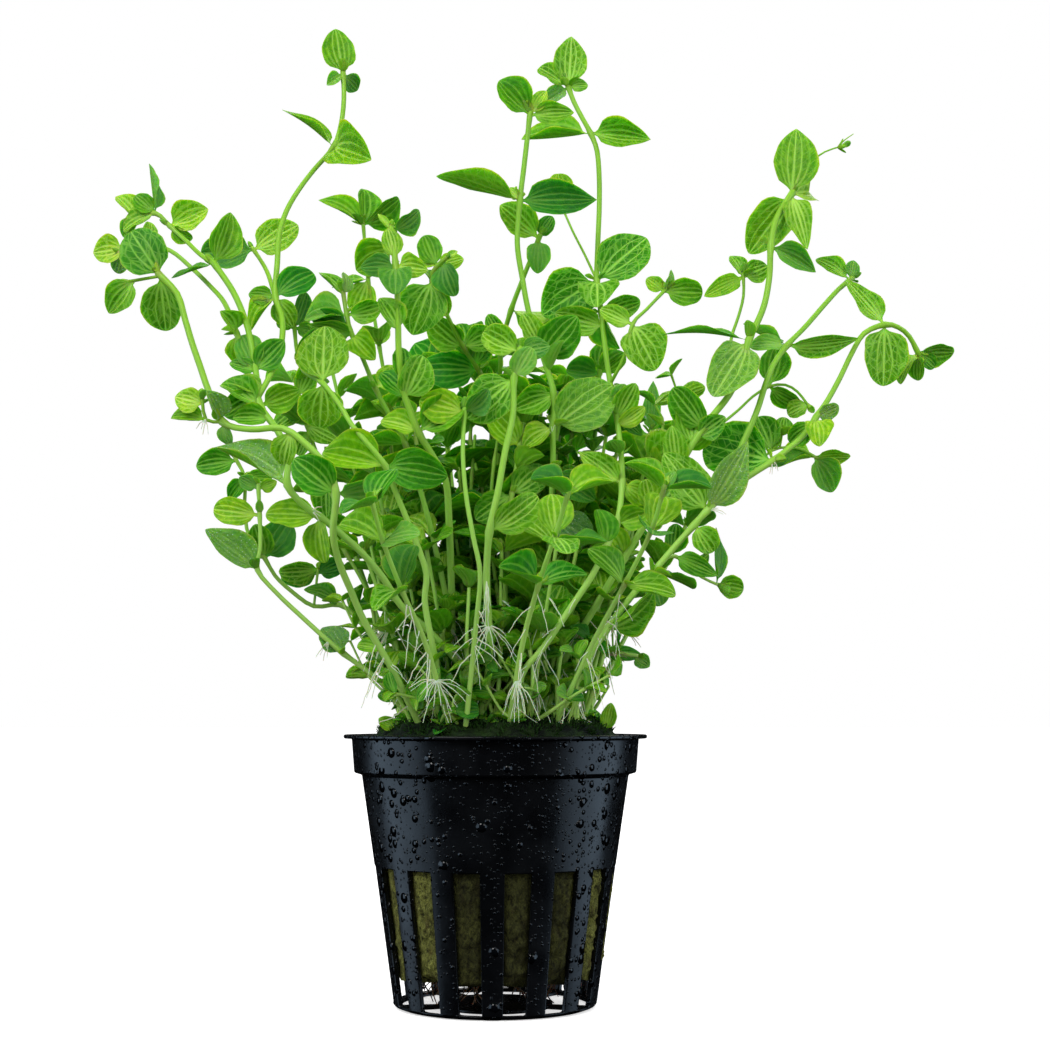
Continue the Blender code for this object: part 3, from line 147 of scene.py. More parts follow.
STEMS = (
    # Main shoot of the left side, leaning forward and then out to the left
    stem(
        "shoot_01", 0.9, 0.75,
        at(-1.5, 54, -6), at(-6, 61, -12), at(-12, 68, -18), at(-17.5, 73, -23), at(-21, 78.3, -27),
        at(-25, 83, -30), at(-30, 87.5, -33),
        at(-33, 89.8, -34, leaf(174, 9.6, roll=35), leaf(272, 8.2, roll=30)),
        at(-36, 92, -35.5),
        at(-39, 95.7, -37, leaf(147, 16.6, width=0.62, roll=42)),
        at(-38.9, 101, -36), at(-41, 106, -34.5),
        at(-44.3, 110.7, -33, leaf(148, 8.2, roll=25), leaf(20, 7.5, roll=20)),
        at(-45, 116, -31), at(-46, 122, -29), at(-47.3, 127, -27), at(-49.7, 132.5, -24),
        at(-53.3, 137.8, -20, leaf(70, 10.2, roll=30), leaf(196, 7.8, tilt=15, roll=70)),
    ),
    # The tall shoot at the left, with the highest leaf
    stem(
        "shoot_02", 0.75, 0.6,
        at(-44.6, 112.5, -32.4), at(-42.3, 116.8, -30), at(-40.6, 121.5, -27), at(-40.3, 127, -24),
        at(
            -41.7, 131.5, -21,
            leaf(36, 8.2, roll=-20), leaf(174, 4.8), leaf(232, 7.4, roll=40), leaf(300, 6.2),
        ),
        at(-41.4, 138, -19), at(-41.1, 143.5, -17), at(-39.8, 148, -15), at(-37.6, 152, -13),
        at(-34.7, 156, -11),
        at(-31, 160.5, -9, leaf(334, 7.2, width=1.0, tilt=35), leaf(135, 11.8, roll=78)),
        at(-29.6, 165, -8), at(-29.1, 170, -7),
        at(-29.3, 174.8, -6, leaf(100, 8.9), leaf(213, 3.4), leaf(318, 4.2, width=0.9)),
        start="fork",
    ),
    stem(
        "shoot_02", 0.6, 0.5,
        at(-41.7, 131.5, -21), at(-43.4, 136.5, -16),
        at(-45.9, 140.5, -12, leaf(182, 9.9, width=0.68), leaf(32, 9.4, width=0.8)),
        start="inside",
    ),
    # Far left shoot, coming forward from the bush
    stem(
        "shoot_03", 0.85, 0.75,
        at(-14, 54, -14), at(-19, 61, -20), at(-24.3, 70, -26), at(-27, 76, -30),
        at(-29.3, 81.5, -34), at(-30.4, 87, -38),
        at(-29.9, 94, -40, leaf(140, 9.7), leaf(6, 9.6, roll=40)),
        at(-31.6, 99, -40), at(-35.5, 103.3, -39.5), at(-40, 106.4, -38.5), at(-46, 106.2, -36),
        at(-51.3, 107.6, -33, leaf(113, 10.4, roll=35), leaf(285, 4.6, roll=30)),
        at(-54, 113.5, -31.5), at(-55.6, 118, -30.5), at(-57.2, 122.5, -29.5), at(-58.6, 127, -28.5),
        at(-60.2, 132, -27.5),
        at(-63.4, 135.4, -26.5, leaf(124, 10.4, width=0.88), leaf(272, 10.4, width=0.76)),
    ),
    stem(
        "shoot_03", 0.4, 0.35,
        at(-63.4, 135.4, -26.5), at(-68.3, 134.5, -25.5, leaf(232, 7.6, width=0.74)),
        start="inside",
    ),
    stem(
        "shoot_03", 0.4, 0.35,
        at(-51.3, 107.6, -33), at(-54.4, 108, -33.5, leaf(172, 6.4, roll=35)),
        at(-55, 111, -34, leaf(165, 5.4, width=0.95)),
        start="inside",
    ),
    # Two thin shoots in the upper left, behind the far left one
    stem(
        "shoot_04", 0.65, 0.55,
        at(-46.7, 119.5, -28.6), at(-48.9, 124.5, -26, leaf(117, 8, roll=45), leaf(280, 6, roll=30)),
        at(-51.2, 130.2, -22.5), at(-54.2, 133.7, -19), at(-57.6, 137, -16), at(-61.5, 140.2, -14),
        at(-66, 141.6, -12.5, leaf(85, 4, roll=30)),
        at(-70.2, 140.6, -11.5, leaf(185, 5.9, width=0.95), leaf(250, 4.6)),
        start="fork",
    ),
    stem(
        "shoot_05", 0.65, 0.55,
        at(-53.3, 137.8, -20), at(-56, 139.6, -14), at(-58.7, 142.2, -10),
        at(-61.8, 145, -8, leaf(28, 7.6, width=0.9), leaf(330, 4.5, roll=30)),
        at(
            -64.6, 147.5, -7,
            leaf(89, 9.4, roll=76), leaf(138, 5, width=0.75), leaf(205, 6.6, roll=40),
        ),
        at(-68.2, 146.5, -5, leaf(128, 5.6, roll=40), leaf(235, 4)),
        start="fork",
    ),
    # Two low shoots that hang out to the left
    stem(
        "shoot_06", 0.75, 0.5,
        at(-15, 54, -3), at(-19.3, 56.6, -6), at(-22.5, 60, -8),
        at(-28.2, 64.2, -9.5, leaf(128, 6.6, width=0.9, roll=15)),
        at(-31, 66.5, -11), at(-36, 71, -12), at(-40.7, 75.4, -13),
        at(-44.4, 79.8, -14, leaf(139, 11.8, width=0.7, roll=30)),
        at(-43.9, 84, -13.5), at(-44.1, 90, -12.5, leaf(172, 8.6, width=0.62)),
        at(-44.4, 95, -12, leaf(20, 3.4, roll=30), leaf(150, 4)),
    ),
    stem(
        "shoot_07", 0.65, 0.45,
        at(-11.5, 54, 4), at(-17, 60, 5), at(-22, 66, 5), at(-26, 71, 4.5),
        at(-29, 73.3, 4, leaf(150, 7, roll=50)), at(-33.8, 73, 3), at(-38, 75.8, 1),
        at(-41.1, 78.7, -1), at(-43, 81.9, -3, leaf(58, 8, width=0.9), leaf(105, 7, width=0.8)),
        at(-46, 86, -4), at(-46.9, 91, -4.5),
        at(-47, 97, -4.5, leaf(0, 4.8, width=0.75), leaf(238, 4.8, width=0.7)),
        at(-48.6, 100.3, -4.5, leaf(188, 7.4, width=0.72)),
    ),
    stem(
        "shoot_07", 0.35, 0.3,
        at(-33.8, 73, 3), at(-33.2, 79.2, 4, leaf(188, 6.8, width=0.72), leaf(20, 5)),
        start="inside",
    ),
    # Arching shoot with the round striped leaf in the middle left
    stem(
        "shoot_08", 0.85, 0.5,
        at(-10.8, 54, -14), at(-10.8, 60.5, -18.5), at(-12, 67, -22), at(-13.2, 74, -23.5),
        at(-12.9, 79, -24.5), at(-14.6, 84.3, -26), at(-16.7, 89.5, -27.5), at(-19, 95, -29),
        at(-20.7, 99.3, -31, leaf(163, 13, width=0.66, roll=15), leaf(352, 11.4, width=0.7)),
        at(-24, 103.5, -32), at(-27, 107, -31), at(-29.3, 110.8, -29),
        at(-32.6, 115, -26, leaf(89, 10.8, width=0.95), leaf(264, 7.8, width=1.05, tilt=20)),
        at(-36.3, 117.4, -22), at(-37.5, 121, -19),
        at(-38, 125.5, -17, leaf(70, 7, roll=50), leaf(160, 3.4), leaf(350, 4)),
    ),
    # Straight shoot that crosses the arch
    stem(
        "shoot_09", 0.8, 0.5,
        at(-5, 54, -2), at(-7, 64, -6), at(-9.5, 76, -9), at(-12, 87, -12), at(-14.5, 96, -15),
        at(-17, 103.5, -18, pair(7.5, 10)), at(-20, 109, -20), at(-22.7, 114, -21, leaf(40, 6)),
        at(-25, 119.5, -21.5), at(-27.2, 124.3, -21.5, leaf(312, 6.6)),
        at(-28.2, 128, -21, leaf(181, 7.8, roll=35), leaf(14, 6.4, width=0.7, roll=20)),
        at(-28.8, 131.8, -20, leaf(132, 6.2, roll=55), leaf(84, 4.2, roll=62)),
    ),
    # Pale thick shoot in front, left of the middle
    stem(
        "shoot_10", 0.95, 0.7,
        at(-7, 54, -7), at(-8, 66, -9), at(-8.3, 78, -13), at(-8.7, 88, -18), at(-9.4, 96.5, -22),
        at(-12, 101.5, -25),
        at(-14.6, 105.8, -27, leaf(36, 10.4, width=0.68), leaf(158, 7, roll=30)),
        at(-16, 109.5, -28), at(-17.6, 114, -29), at(-18.3, 120, -30), at(-18.5, 127, -30),
        at(-18.7, 133, -30),
        at(
            -19, 137.4, -29,
            leaf(272, 5.4, width=0.9, tilt=42), leaf(350, 5.4, width=0.85, tilt=25), leaf(186, 6, tilt=20),
        ),
        at(-19.4, 141, -28, leaf(205, 8.2, width=0.85, tilt=-15)),
        at(-19.8, 144.2, -27, leaf(125, 4, roll=20), leaf(34, 6.2, roll=52)),
    ),
    # Thin shoot left of the middle, behind the pale one
    stem(
        "shoot_11", 0.7, 0.45,
        at(-13, 54, 7), at(-14.5, 66, 13), at(-16, 80, 18, pair(8, 0)), at(-17.5, 94, 22, pair(8.5, 90)),
        at(-19.5, 108, 24, pair(8.5, 10)), at(-22, 122, 24, pair(8, 95)),
        at(-24.2, 135, 22, leaf(250, 7, tilt=-10), leaf(186, 6.8, roll=62)),
        at(
            -25.2, 145.3, 20,
            leaf(144, 9.8, width=0.7, roll=35), leaf(86, 7, roll=38), leaf(33, 8.3, roll=62),
        ),
    ),
    # Shoot in the middle with the double leaf above the bush
    stem(
        "shoot_12", 0.75, 0.5,
        at(0.5, 54, 12), at(0, 66, 14), at(-0.5, 80, 15, pair(8, 20)), at(0, 94, 15, pair(8.5, 110)),
        at(0.5, 106, 13, pair(8, 30)), at(-1.2, 113.5, 10), at(-3.3, 117.5, 7, leaf(178, 11, width=0.68)),
        at(-6.2, 122, 3, leaf(20, 7, width=0.8)), at(-8.9, 127.3, -2),
        at(-12.2, 134.6, -8, leaf(250, 10.4, width=0.9), leaf(292, 7, roll=30)),
        at(-11.2, 137.4, -9, leaf(112, 6.4, width=0.76), leaf(150, 4.6, roll=20), leaf(18, 5, width=0.8)),
        at(-9.9, 138.6, -10, leaf(282, 7, roll=35)),
    ),
    # The left one of the two tall shoots right of the middle
    stem(
        "shoot_13", 0.8, 0.65,
        at(6, 54, 2), at(8, 70, -4), at(9.6, 80, -7, leaf(150, 7, tilt=20)),
        at(10.2, 90, -10, leaf(200, 8, tilt=15), leaf(330, 8.5)),
        at(10.7, 98, -11.5, leaf(328, 9, width=0.6)),
        at(10.7, 106.8, -12, leaf(36, 13.6, width=0.76), leaf(214, 6.4, roll=25)),
        at(10.9, 113, -11, leaf(200, 7.5)),
        at(9.4, 118.5, -10), at(7.7, 123.5, -9), at(6.1, 129, -8), at(5, 135, -7), at(4, 142, -6),
        at(
            4.5, 150.2, -5,
            leaf(154.5, 16, width=0.62, roll=58), leaf(4, 14.4, width=0.62, roll=56), leaf(130, 2.8),
        ),
        at(5.3, 157, -4),
        at(6.4, 166.9, -3, leaf(130, 8.9, width=0.84), leaf(57, 5.6, width=0.55), leaf(2, 8, width=0.62)),
    ),
    # Its small neighbour, whose stem crosses it
    stem(
        "shoot_14", 0.7, 0.6,
        at(-4.5, 54, 20), at(-4, 68, 23), at(-3, 84, 23, pair(8.5, 40)), at(-1.5, 100, 20, pair(8.5, 130)),
        at(0.5, 112, 16, leaf(180, 8)), at(0.8, 118, 13), at(1.2, 123, 11),
        at(2.8, 129, 8, leaf(352, 9, roll=76)),
        at(4.9, 134.7, 5), at(7, 140, 3),
        at(8.1, 142.9, 2, leaf(138, 9.6, width=0.72), leaf(60, 4.9, width=0.68), leaf(268, 6.2, width=0.9)),
    ),
    # The right one, with the big round leaf
    stem(
        "shoot_15", 0.8, 0.7,
        at(4.2, 54, -16), at(4.8, 60, -18), at(9, 65.5, -20), at(15.5, 75, -22), at(18.3, 79.3, -22),
        at(20.5, 84, -21, leaf(100, 7, roll=25)), at(22.7, 88.5, -19, leaf(20, 5.6, width=0.9, tilt=10)),
        at(23.7, 96, -16, leaf(142, 9.8, width=0.55), leaf(330, 6)), at(23.4, 103, -13),
        at(22.5, 110, -10, leaf(70, 5), leaf(318, 6.5, width=0.5)), at(21.4, 116, -7), at(20.6, 122, -4),
        at(19.9, 128.7, -1, leaf(293, 7.4, roll=48)),
        at(
            19.1, 134.8, 2,
            leaf(42, 12.6, width=0.88), leaf(211, 11.6, width=0.92, tilt=10),
            leaf(268, 7.6, width=0.95, tilt=25),
        ),
        at(19.3, 142, 4), at(19.6, 149, 6), at(19.6, 155, 8), at(19.2, 160, 10),
        at(18, 163.4, 11, leaf(178.5, 12.8, width=0.55, roll=56), leaf(356, 11.2, width=0.66)),
        at(16.3, 166.6, 13), at(14.8, 169.6, 14),
        at(
            13.8, 172.4, 15,
            leaf(86.5, 10.2, width=0.72), leaf(140, 6.6, roll=35), leaf(212, 5, width=0.7),
            leaf(8, 3.4, width=0.9),
        ),
    ),
    stem(
        "shoot_15", 0.35, 0.3,
        at(19.1, 134.8, 2), at(16.7, 140, 3.5), at(14.5, 144.4, 5), at(12.4, 149.3, 6.5, leaf(95, 6.4)),
        start="inside",
    ),
    # Side shoot right of the middle
    stem(
        "shoot_16", 0.5, 0.4,
        at(21.5, 115, -7.3), at(22.9, 117.5, -9.5), at(24.3, 120.5, -10.5),
        at(25.8, 126.4, -10, leaf(154, 6.6, width=0.66), leaf(296, 9.4, width=0.92, tilt=10)),
        at(28.5, 129.3, -8),
        at(31.8, 132.8, -6, leaf(359, 7.2, width=0.74), leaf(142, 3.9, width=0.85), leaf(62, 4.2, roll=55)),
        start="fork",
    ),
    # The tall shoot at the right
    stem(
        "shoot_17", 0.85, 0.8,
        at(8.5, 54, -4), at(12.8, 63, -8), at(18, 72, -11.5), at(24, 82, -14.5, leaf(120, 7)),
        at(29.5, 91, -17, leaf(48, 10.5, width=0.5), leaf(104, 5.6, width=0.85)),
        at(34, 98.5, -18, leaf(96, 8, width=0.6)), at(37, 103.6, -18), at(40.3, 108.3, -18),
        at(44, 113, -17), at(46.4, 118, -16),
        at(47.8, 123.4, -15, leaf(237.5, 13.9, width=0.64), leaf(168, 16, width=0.6, roll=76)),
        at(49.3, 126.5, -14), at(50.9, 130.5, -13), at(51.9, 136, -12),
        at(52.2, 141.5, -11, leaf(336, 9.9, width=0.62, tilt=-12)),
        at(53.4, 147, -9.5),
        at(
            56.2, 151.5, -8,
            leaf(84, 13, width=0.7), leaf(26, 6.4, width=1.0, tilt=-20),
            leaf(234, 13, width=0.62, tilt=8), leaf(282, 10.4, width=0.66, tilt=25),
        ),
    ),
    stem(
        "shoot_17", 0.3, 0.22,
        at(56.2, 151.5, -8), at(58.6, 155.8, -7.4), at(60.6, 158.3, -7), at(62.8, 160, -6.6),
        at(65.4, 160.9, -6.2),
        start="inside",
    ),
    # Thin shoot beside it
    stem(
        "shoot_18", 0.45, 0.35,
        at(45.4, 115.8, -16.4), at(44.3, 119.5, -11.5), at(44.5, 123.8, -9), at(45.9, 128, -8),
        at(46.9, 132, -8),
        at(46.9, 135.6, -8, leaf(206, 8, width=0.62), leaf(118, 4.6, roll=30), leaf(25, 5, width=0.95)),
        start="fork",
    ),
    # The long right shoot that arches over at its end
    stem(
        "shoot_19", 0.85, 0.65,
        at(14, 54, -11), at(16.5, 61.5, -14), at(20.5, 68.5, -16, leaf(36, 11.5, roll=62)),
        at(26, 75.7, -18), at(29, 79, -18.5, leaf(290, 6, width=0.8)), at(34, 84.8, -19),
        at(37.2, 88.3, -19.5, leaf(305, 5.8, width=0.9)),
        at(39.6, 91, -20, leaf(127, 12.8, width=0.66, tilt=10), leaf(56, 14.2, width=0.6, tilt=14, roll=25)),
        at(44.5, 95.4, -19), at(48.3, 98, -18),
        at(52, 100.4, -17, leaf(160, 12.8, width=0.72, tilt=-28)),
        at(55.4, 103, -16), at(58, 105.3, -15),
        at(
            60.3, 108.7, -14,
            leaf(24, 4.6, roll=35), leaf(212, 4.4, width=0.95), leaf(271, 6.4, width=0.82, tilt=15),
        ),
        at(62.6, 112, -13), at(65, 116.3, -12), at(67.3, 121, -11), at(69.7, 124.8, -10),
        at(73.6, 126.5, -9, leaf(127, 11, width=0.6, roll=25), leaf(269, 11.2, width=0.78)),
        at(76.2, 126, -8), at(78.3, 124.2, -7),
        at(
            79.8, 121.2, -6,
            leaf(357, 6.7, roll=52), leaf(234, 6.4, roll=50), leaf(266, 5, roll=52), leaf(318, 4),
        ),
    ),
    # The straight pale stem that leaves it for the upper right
    stem(
        "shoot_20", 0.8, 0.65,
        at(39.6, 91, -20), at(42.3, 96.2, -17.5), at(45.3, 101.3, -17), at(46.8, 104.5, -17),
        at(48.2, 107.5, -17), at(49.6, 111, -16.5), at(50.7, 114.5, -16), at(52.4, 118.7, -15),
        at(
            55, 122.4, -13,
            leaf(2, 13.6, width=0.6, roll=42), leaf(178, 6.6, width=0.6, roll=30), leaf(136, 11, roll=76),
        ),
        at(58.5, 126, -11), at(62, 130, -9), at(65, 133.3, -7),
        at(67.2, 135.1, -6, leaf(145, 7.2, roll=35), leaf(78, 3.6)),
        start="fork",
    ),
    # Thin arching twigs at the right
    stem(
        "shoot_21", 0.4, 0.35,
        at(38.8, 106, -18), at(42, 107.2, -10.5), at(45.6, 110, -8), at(48.5, 112.7, -7),
        at(51.6, 114.6, -6.5, leaf(78, 7.8, width=0.78), leaf(322, 6.8, roll=50)),
        at(54.6, 114.9, -6.5), at(56.9, 113.6, -7), at(58.3, 111.8, -7.5),
        start="fork",
    ),
    stem(
        "shoot_22", 0.4, 0.35,
        at(48.3, 98, -18), at(50.6, 101.4, -12), at(53.4, 102.9, -11), at(57, 102.8, -10.5),
        at(60, 101.2, -10, leaf(358, 6.6, roll=45), leaf(187, 7, roll=55), leaf(298, 7.2, width=0.8)),
        start="fork",
    ),
    stem(
        "shoot_22", 0.3, 0.25,
        at(53.4, 102.9, -11), at(53.8, 105.2, -10.5, leaf(80, 3.5, width=1.0)),
        start="inside",
    ),
    # Low twig at the right with the upright leaf
    stem(
        "shoot_23", 0.45, 0.35,
        at(31.6, 82, -18.8), at(33.6, 82.4, -14, leaf(335, 8.2, width=0.5, tilt=10)),
        at(36, 80.9, -12.5, leaf(24, 4.2, roll=60)), at(38.3, 78.6, -12),
        at(41.3, 77.2, -11.5, leaf(84, 10.4, roll=64), leaf(350, 5, width=0.9)),
        start="fork",
    ),
    # Small broken twig near the rim at the right
    stem(
        "shoot_24", 0.5, 0.4,
        at(12.5, 54, 1), at(15, 58.5, 2), at(18, 62.8, 3, leaf(60, 5)), at(22, 64.3, 3),
        at(25.7, 63.9, 3, leaf(325, 3.4, width=0.9)),
    ),
    # Pale central stems
    stem(
        "shoot_25", 0.95, 0.7,
        at(-3, 54, -13), at(-1.4, 60, -16), at(-1.2, 68, -20), at(-1.7, 78, -24),
        at(-1.2, 87, -27, leaf(33, 11, width=0.6, roll=25)), at(0.3, 94, -28), at(1.7, 102, -28),
        at(3.2, 109, -27),
        at(3.4, 116, -26, leaf(222, 11.4, width=0.76), leaf(60, 6, tilt=15)),
        at(4.4, 121, -25, leaf(150, 7.5, width=0.8), leaf(12, 5.5, width=0.9)),
    ),
    stem(
        "shoot_26", 0.65, 0.5,
        at(-5.5, 54, -20), at(-3.6, 70, -27), at(-2.9, 79, -30), at(-4.2, 86, -31), at(-5.6, 94, -31),
        at(-6.2, 102, -30), at(-5.9, 109.5, -28, leaf(166, 8.4, width=0.8), leaf(40, 6, roll=30)),
    ),
    stem(
        "shoot_27", 0.7, 0.5,
        at(3, 54, -5), at(2.4, 64, -6), at(1.8, 74, -8), at(2.2, 84, -9, leaf(160, 7)),
        at(3, 94, -10, leaf(40, 8), leaf(215, 8)), at(4.5, 103, -9, leaf(130, 8)),
        at(5.4, 111, -7, leaf(20, 6)),
    ),
    # Dense inner shoots, leaning back and forward
    stem(
        "shoot_28", 0.75, 0.5,
        at(-8, 54, 12), at(-14, 68, 23), at(-20, 82, 32, pair(8.5, 0)), at(-25, 96, 40, pair(9, 90)),
        at(-28.5, 108, 45, pair(8.5, 20)), at(-31, 118, 48, pair(7.5, 100)),
    ),
    stem(
        "shoot_29", 0.75, 0.5,
        at(-1, 54, 17), at(-4, 70, 30), at(-7, 87, 41, pair(9, 45)), at(-9, 103, 48, pair(9, 135)),
        at(-10, 116, 52, pair(8, 50)),
    ),
    stem(
        "shoot_30", 0.75, 0.5,
        at(5, 54, 16), at(9, 70, 28), at(13, 87, 38, pair(9, 15)), at(15, 102, 45, pair(9, 105)),
        at(14, 115, 49, pair(8, 20)),
    ),
    stem(
        "shoot_31", 0.75, 0.5,
        at(11, 54, 10), at(18, 68, 20), at(23.5, 82, 29, pair(9, 70)), at(27, 95, 35, pair(9, 160)),
        at(29, 105.5, 38, leaf(86, 10, width=0.5), leaf(350, 7), leaf(200, 7)),
    ),
    stem(
        "shoot_32", 0.65, 0.45,
        at(16, 54, 3), at(24, 67, 9), at(31, 79, 14, pair(8, 30)), at(35.5, 88, 18, pair(7, 120)),
    ),
    stem(
        "shoot_33", 0.7, 0.5,
        at(-15, 54, 8), at(-21, 68, 13), at(-26, 82, 17, pair(8.5, 60)), at(-31, 95, 20, pair(8.5, 150)),
        at(-35.5, 107, 22, pair(8.5, 70)), at(-37.5, 115, 23, pair(7.5, 150)),
    ),
    stem(
        "shoot_34", 0.7, 0.5,
        at(8.5, 54, 9), at(11.5, 70, 13), at(14.5, 83, 15, pair(8.5, 25)),
        at(16.5, 91, 15, leaf(35, 11, width=0.55)), at(17.5, 98, 15, pair(8.5, 115)),
        at(19, 108, 14, pair(8, 30)), at(19.5, 117, 12, leaf(172, 6, width=0.9), leaf(40, 6)),
    ),
    stem(
        "shoot_35", 0.7, 0.5,
        at(2.5, 54, -18), at(5, 66, -28), at(8, 77, -37, pair(8, 20)), at(11, 86, -44, pair(8, 110)),
        at(13.5, 94, -49, pair(7.5, 30)),
    ),
    stem(
        "shoot_36", 0.7, 0.5,
        at(-8.5, 54, -17), at(-13, 66, -28), at(-17.5, 76, -37, pair(8, 50)),
        at(-21, 85, -44, pair(8, 140)), at(-23, 92, -48, pair(7.5, 50)),
    ),
    stem(
        "shoot_37", 0.7, 0.5,
        at(11, 54, -14), at(18, 66, -24), at(24, 77, -32, pair(8.5, 0)), at(29, 87, -38, pair(8.5, 90)),
        at(31.5, 95, -42, pair(7.5, 0)),
    ),
)


def inner_shoot(number, turned):
    """A plain shoot of the inner bush, turned by so many degrees from its place at the golden angle."""
    turn = math.radians(number * GOLDEN_ANGLE + turned)
    radius = INNER_FOOT_RADIUS * math.sqrt((number + 0.5) / INNER_SHOOTS)
    foot = Vector((radius * math.cos(turn), radius * math.sin(turn), MOSS_CROWN))
    top = INNER_FRONT_TOP if foot.y < INNER_FRONT else INNER_TOPS[number % len(INNER_TOPS)]
    steps = round((top - MOSS_CROWN) / INNER_STEP)
    stations = [Station(foot, ())]
    for step in range(1, steps + 1):
        share = step / steps
        point = foot * (1 + INNER_SPREAD * share)
        point.z = MOSS_CROWN + (top - MOSS_CROWN) * share
        spec = pair(INNER_LEAF, INNER_PAIR_TURN * step, INNER_LEAF_WIDTH)
        stations.append(Station(point, (spec,) if point.z > INNER_BARE else ()))
    return Stem(f"shoot_{FIRST_INNER + number}", INNER_THICK, INNER_THIN, "moss", tuple(stations))


def inner_turns():
    """The turns to try, to one side and the other by growing steps."""
    for step in range(INNER_TURNS):
        yield INNER_TURN_STEP * (step // 2 + step % 2) * (-1) ** step


# How finely the leaves and stems are made
LEAF_GRID = (16, 14)
SMALL_LEAF_GRID = (8, 6)
STEM_SIDES = 12
STEM_STEP = 1.6

# A leaf's skin: its thickness, its veins and the bulges between them
LEAF_SKIN = 0.34
QUILT = 0.10
QUILTED_LENGTH = 8
VEINLET_STEP = 1.5
VEINS_PER_SIDE = 2.2
VEIN_FAN = 0.42
PETIOLE_HALF = 0.33
TIP_HALF = 0.10
UNDER_TONE = 0.12

# How leaves differ by chance: the powers of their two ends, their waves, cup, fold, ruffle, arch and twist
SLENDER = 0.58
SLENDER_TIPS = (0.7, 0.95)
NARROWED_TIPS = (0.62, 0.78)
ROUND_TIPS = (0.45, 0.72)
BASES = (0.36, 0.5)
EDGE_WAVE = 0.05
EDGE_NOTCH = 0.025
EDGE_WAVES = 4
EDGE_NOTCHES = 17
CUPS = (0.35, 1.0)
FOLDS = (0.0, 0.05, 0.1, 0.3)
RUFFLE = 0.035
RUFFLES = (0.4, 1.4)
RUFFLES_ALONG = 9
RUFFLES_ACROSS = 1.5
ARCHES = (-0.05, 0.05)
DROOPS = (-0.02, 0.10)
TWISTS = (-0.45, 0.45)

# A stem's form: its share of the solid's radius, its four ridges, its joints, its bud and its rounded end
STEM_ROUND = 0.70
STEM_RIDGE = 0.05
NODE_SWELL = 0.30
NODE_REACH = 1.1
BLUSH_REACH = 2.2
BUD_LENGTH = 0.7
STEM_END = ((0.5, 0.75), (0.8, 0.3))
STEM_FOOT = 51.0
LOW_START = 60
LOW_BROWNS = (0.0, 0.15, 0.5)
HIGH_BROWN = 0.2
STEM_TONES = (0.3, 0.7)
FAR = 99.0

# Tiny leaves at the joints and at the tips
AXIL_LEAVES = (0, 0, 1, 1, 2)
AXIL_LENGTH = (1.8, 3.4)
AXIL_WIDTH = (0.5, 0.75)
AXIL_RISE = (20, 65)
TUFT_LENGTH = (1.4, 2.4)
TUFT_WIDTH = 0.6
TUFT_RISE = (45, 75)

# Extra leaves of the dense inner bush
EXTRA_LOW = 60.0
EXTRA_HIGH = 126.0
EXTRA_START = 2
EXTRA_STEP = 8.5
EXTRA_STEPS = (0.7, 1.2)
EXTRA_FRONT = -14.0
EXTRA_CLEAR = 3.5
EXTRA_LENGTH = (4.5, 7.5)
EXTRA_WIDTH = (0.6, 0.9)
EXTRA_RISE = (5, 50)

# Looks by chance, and the painted shade that darkens leaves deep in the bush
TONES = (0.2, 0.9)
PAINTED_SHADE_DARKENS = 0.5
DRY_SHARE = 0.96
BLUES = (0.0, 0.0, 0.2, 0.8)
PALES = (0.2, 1.0)
SHADE_FRONT = -12
SHADE_DEPTH = 27
SHADE_HALF_WIDTH = 50
SHADE_HIGH = 114
SHADE_FALL = 26
SHADE_BACK_TOP = 118
SHADE_LOW_SHARE = 0.6

# A leaf's tone, the strength of its veins, how wet, how blue, how slim it is, and how it is rolled
Look = namedtuple("Look", "tone pale wet blue slim roll")

